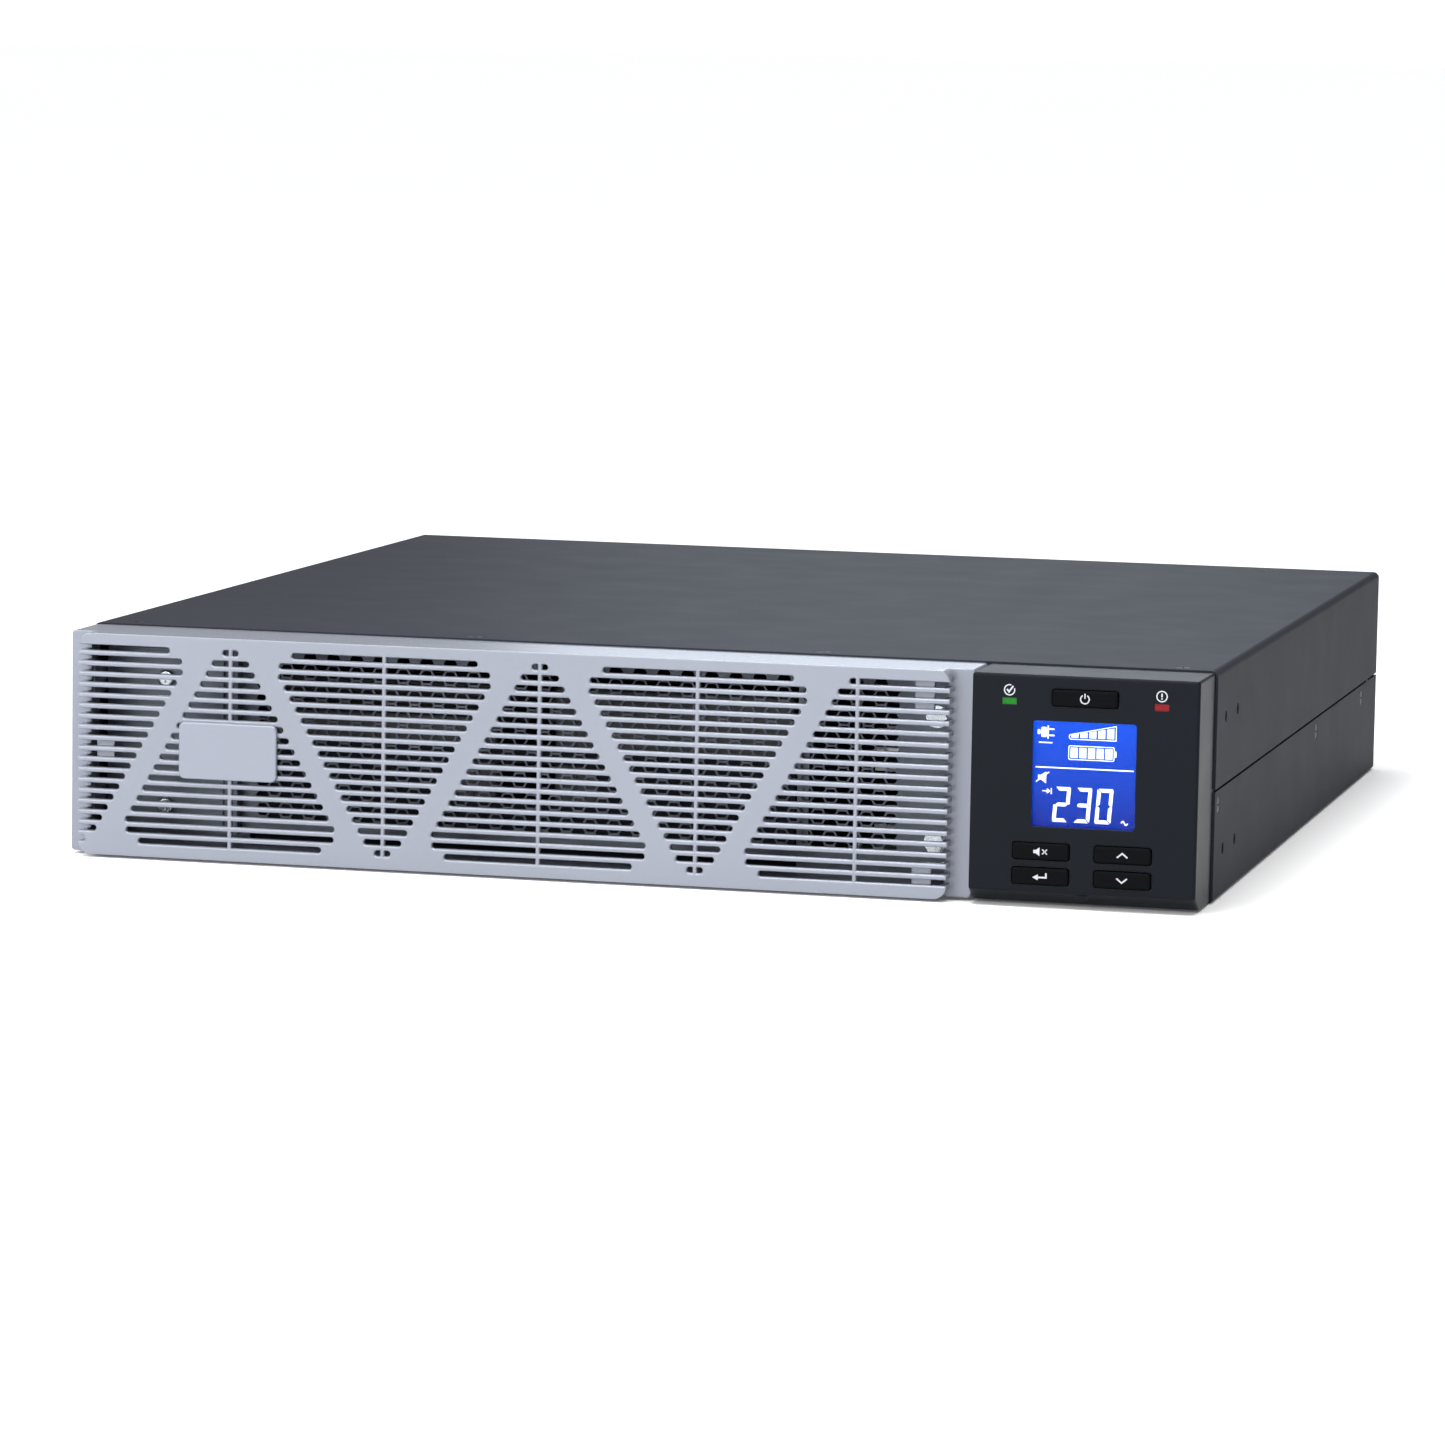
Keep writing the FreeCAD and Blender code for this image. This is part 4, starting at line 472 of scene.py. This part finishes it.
def digit(symbol, u, v):
    """Seven-segment figure with its upper left corner at u, v, leaning to the right."""
    w, h, t, g = DIGIT_W, DIGIT_H, SEGMENT, 0.16
    half = h / 2
    bars = {
        "a": [(g + 0.3, 0), (w - g, 0), (w - t - g, t), (t + g + 0.2, t)],
        "d": [(t + g, h - t), (w - t - g - 0.2, h - t), (w - g - 0.3, h), (g, h)],
        "g": [(t * 0.55 + g, half), (t + g, half - t / 2), (w - t - g, half - t / 2),
              (w - t * 0.55 - g, half), (w - t - g, half + t / 2), (t + g, half + t / 2)],
        "b": [(w, g + 0.1), (w, half - g), (w - t * 0.5, half - g), (w - t, half - t * 0.6), (w - t, t + g)],
        "c": [(w - t * 0.5, half + g), (w, half + g), (w, h - g - 0.1), (w - t, h - t - g),
              (w - t, half + t * 0.6)],
        "f": [(0, g + 0.1), (t, t + g), (t, half - t * 0.6), (t * 0.5, half - g), (0, half - g)],
        "e": [(0, half + g), (t * 0.5, half + g), (t, half + t * 0.6), (t, h - t - g), (0, h - g - 0.1)],
    }
    return [[(u + a + LEAN * (h - b), v + b) for a, b in bars[name]] for name in SEGMENTS[symbol]]


def plug_mark():
    shapes = [rectangle(2.8, 4.7, 2.5, 6.2, 0.4), rectangle(1.4, 2.4, 3.5, 5.2, 0.2)]
    shapes += stroke([(5.5, 3.2), (7.6, 3.2)], 0.5) + stroke([(5.5, 5.5), (7.6, 5.5)], 0.5)
    return shapes + stroke([(5.25, 1.9), (5.25, 6.8)], 0.45)


def load_mark():
    outline = [(13.6, 6.55), (30.5, 6.55), (30.5, 1.2), (13.4, 4.9), (13.1, 5.7)]
    return stroke(outline, 0.28, True)


def load_cells():
    cells = []
    for k in range(5):
        u0, u1 = 13.9 + 3.3 * k, 16.6 + 3.3 * k
        left, right = [5.15 - (u - 13.4) * 0.196 for u in (u0, u1)]
        cells.append([(u0, 5.95), (u0, left), (u1, right), (u1, 5.95)])
    return cells


def cell_mark():
    nub = [rectangle(30.15, 30.75, 10.4, 12.6)]
    return stroke(rectangle(13.1, 29.9, 9.0, 14.0, 0.5), 0.28, True) + nub


def muted_mark():
    horn = [[(1.9, 20.2), (3.1, 20.2), (3.1, 21.9), (1.9, 21.9)],
            [(3.1, 20.2), (4.9, 18.9), (4.9, 23.2), (3.1, 21.9)]]
    return horn + stroke([(1.2, 22.7), (6.0, 19.0)], 0.4)


def input_mark():
    """Arrow into a bar, for the input."""
    shaft = stroke([(3.6, 26.0), (5.4, 26.0)], 0.35) + stroke([(6.95, 24.9), (6.95, 27.1)], 0.35)
    return [[(5.3, 25.0), (6.6, 26.0), (5.3, 27.0)]] + shaft


lit = plug_mark() + load_mark() + cell_mark() + stroke([(0.9, 17.3), (37.3, 17.3)], 0.42)
lit += muted_mark() + input_mark() + sine_stroke(33.1, 36.6, 2.4, -0.7, 14)
lit += stroke([(1.9, 8.2), (6.9, 8.2)], 0.4)
for symbol, u in (("2", 7.4), ("3", 15.3), ("0", 23.2)):
    lit += digit(symbol, u, 24.3)
marks("display_figures", lcd(lit), LCD_FACE, "case", LCD_WHITE)
cells = load_cells() + [rectangle(13.75 + 3.22 * k, 16.45 + 3.22 * k, 9.6, 13.4) for k in range(5)]
marks("display_cells", lcd(cells), LCD_FACE, "case", LCD_PALE)

# ---------------------------------------------------------------- rear print and labels
def earth_mark(x, z):
    """Protective earth symbol: a ring round a stem on three bars."""
    bars = stroke([(-1.5, -0.2), (1.5, -0.2)], 0.32) + stroke([(-0.95, -0.85), (0.95, -0.85)], 0.32)
    bars += stroke([(-0.45, -1.5), (0.45, -1.5)], 0.32) + stroke([(0, -0.2), (0, 1.7)], 0.32)
    return moved(bars + stroke(arc(0, 0, 2.5, 0, 360, 40)[:-1], 0.3, True), x, z)


rear_print = stroke(rectangle(*OUTLET_FRAME, 2.5), 0.45, True)
for rule_x in OUTLET_RULES_X:
    rear_print += stroke([(rule_x, 14.0), (rule_x, 76.0)], 0.3)
rear_print += earth_mark(EARTH_X, 34.5) + sine_stroke(INLET_X - 2.5, 78.5, 5.0, 0.95, 20)
rear_print += stroke(arc(INLET_X, 24.0, 9.6, 200, 340, 30), 0.4)
marks("rear_print", rear_print, REAR, "case", PRINT_WHITE, facing=1)


def hub_ring(name, inner, outer, material, depth):
    """A thin flat ring on the fan's hub, which turns with the blades."""
    steps = 64
    rim = arc(*FAN, outer, 0, 360, steps)[:-1]
    core = arc(*FAN, inner, 0, 360, steps)[:-1]
    shapes = [[rim[k], rim[(k + 1) % steps], core[(k + 1) % steps], core[k]] for k in range(steps)]
    marks(name, shapes, FAN_HUB_Y, "fan_blades", material, depth, 1)


hub_ring("fan_hub_label", 3.0, 13.5, LABEL_GREY, 0.06)
hub_ring("fan_hub_ring", 14.2, 14.9, MATERIALS["black_plastic"], 0.25)


LABEL_HALF_WIDTH = 0.026       # metres, as are the next two
LABEL_MARGIN = 0.030
LABEL_THICKNESS = 0.0001


def battery_label(name, node):
    """A blank label with rounded corners on a battery's top."""
    low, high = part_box(node)
    bm = bmesh.new()
    middle = (low[0] + high[0]) / 2
    x0, x1 = middle - LABEL_HALF_WIDTH, middle + LABEL_HALF_WIDTH
    y0, y1 = low[1] + LABEL_MARGIN, high[1] - LABEL_MARGIN
    corners = [bm.verts.new((x, y, high[2])) for x, y in ((x0, y0), (x1, y0), (x1, y1), (x0, y1))]
    bm.faces.new(corners)
    bmesh.ops.bevel(bm, geom=bm.verts[:], offset=0.003, segments=5, affect="VERTICES")
    bmesh.ops.inset_region(bm, faces=bm.faces[:], thickness=0.0022)
    thin_piece(name, bm, (0, 0, LABEL_THICKNESS), "case", LABEL_GREY)


for place in ("front_left", "front_right", "rear_left", "rear_right"):
    battery_label("label_" + place, "battery_" + place)

# ---------------------------------------------------------------- floor, light, camera
FLOOR_RADIUS = 60.0
FLOOR_DROP = 0.0002            # keeps the floor just under the case
SKY_ENDS = ((0.02, 1.3), (0.80, 1.20))                      # place on the ramp, brightness
SKY_BETWEEN = ((0.045, 0.14), (0.40, 0.22), (0.60, 0.9))
SKY_TINT = (1.0, 1.01, 1.04)
LENS = 146.95
CAMERA_AT = (0.568454, -2.347028, 0.319983)
AZIMUTH, ELEVATION, ROLL = 0.24653, 0.11807, 0.01716        # radians

mesh = bpy.data.meshes.new("floor")
bm = bmesh.new()
bmesh.ops.create_circle(bm, cap_ends=True, radius=FLOOR_RADIUS, segments=96)
bm.to_mesh(mesh)
bm.free()
floor = bpy.data.objects.new("floor", mesh)
floor.location.z = -FLOOR_DROP
bpy.context.collection.objects.link(floor)
pale = Shader("pale_floor")
floor.data.materials.append(pale.set(
    colour=pale.mix(pale.noise(0.6), (0.93, 0.93, 0.935), (0.95, 0.95, 0.95)), roughness=0.85, specular=0.1,
    glow=(1.0, 1.0, 1.0), glow_strength=0.06))

world = bpy.data.worlds.new("studio")
bpy.context.scene.world = world
world.use_nodes = True
tree = world.node_tree
background = tree.nodes["Background"]
direction = tree.nodes.new("ShaderNodeTexCoord")
split = tree.nodes.new("ShaderNodeSeparateXYZ")
tree.links.new(direction.outputs["Generated"], split.inputs[0])
sky = tree.nodes.new("ShaderNodeValToRGB")
stops = sky.color_ramp.elements
for stop, (place, level) in zip(stops, SKY_ENDS):
    stop.position, stop.color = place, (level, level, level, 1.0)
for place, level in SKY_BETWEEN:
    stop = stops.new(place)
    stop.color = (*[level * tint for tint in SKY_TINT], 1.0)
tree.links.new(split.outputs[2], sky.inputs[0])
tree.links.new(sky.outputs[0], background.inputs[0])
toward_side = tree.nodes.new("ShaderNodeMapRange")
for key, number in (("From Min", 0.25), ("From Max", 0.75), ("To Min", 1.3), ("To Max", 0.42)):
    toward_side.inputs[key].default_value = number
tree.links.new(split.outputs[0], toward_side.inputs["Value"])
tree.links.new(toward_side.outputs["Result"], background.inputs["Strength"])


def softbox(name, where, aim, size, power, tint=(1.0, 1.0, 1.0)):
    light = bpy.data.lights.new(name, "AREA")
    light.shape = "RECTANGLE"
    light.size, light.size_y = size
    light.energy = power
    light.color = tint
    lamp = bpy.data.objects.new(name, light)
    lamp.location = where
    lamp.rotation_euler = (Vector(aim) - Vector(where)).to_track_quat("-Z", "Y").to_euler()
    bpy.context.collection.objects.link(lamp)


softbox("key_light", (-1.1, -2.6, 0.9), (0, -0.2, 0.04), (1.8, 1.0), 50.0)
softbox("near_light", (0.15, -0.45, 0.90), (0.12, -0.15, 0.08), (0.5, 0.4), 5.0)
softbox("strip_light", (-0.42, -0.46, 1.9), (0, -0.24, 0.05), (1.6, 0.25), 14.0)
softbox("back_light", (-0.45, 2.6, 0.80), (0.05, 0, 0.08), (0.8, 0.6), 4.2, (0.82, 0.90, 1.0))

back = Vector((math.sin(AZIMUTH) * math.cos(ELEVATION), -math.cos(AZIMUTH) * math.cos(ELEVATION),
               math.sin(ELEVATION)))
right = Vector((0, 0, 1)).cross(back).normalized()
up = back.cross(right)
across = math.cos(ROLL) * right + math.sin(ROLL) * up
upward = -math.sin(ROLL) * right + math.cos(ROLL) * up
data = bpy.data.cameras.new("camera")
data.sensor_width = 36.0
data.lens = LENS
data.clip_end = 200.0
camera = bpy.data.objects.new("camera", data)
turn = Matrix((across, upward, back)).transposed().to_4x4()
camera.matrix_world = Matrix.Translation(CAMERA_AT) @ turn
bpy.context.collection.objects.link(camera)
bpy.context.scene.camera = camera
bpy.context.scene.view_settings.view_transform = "Standard"
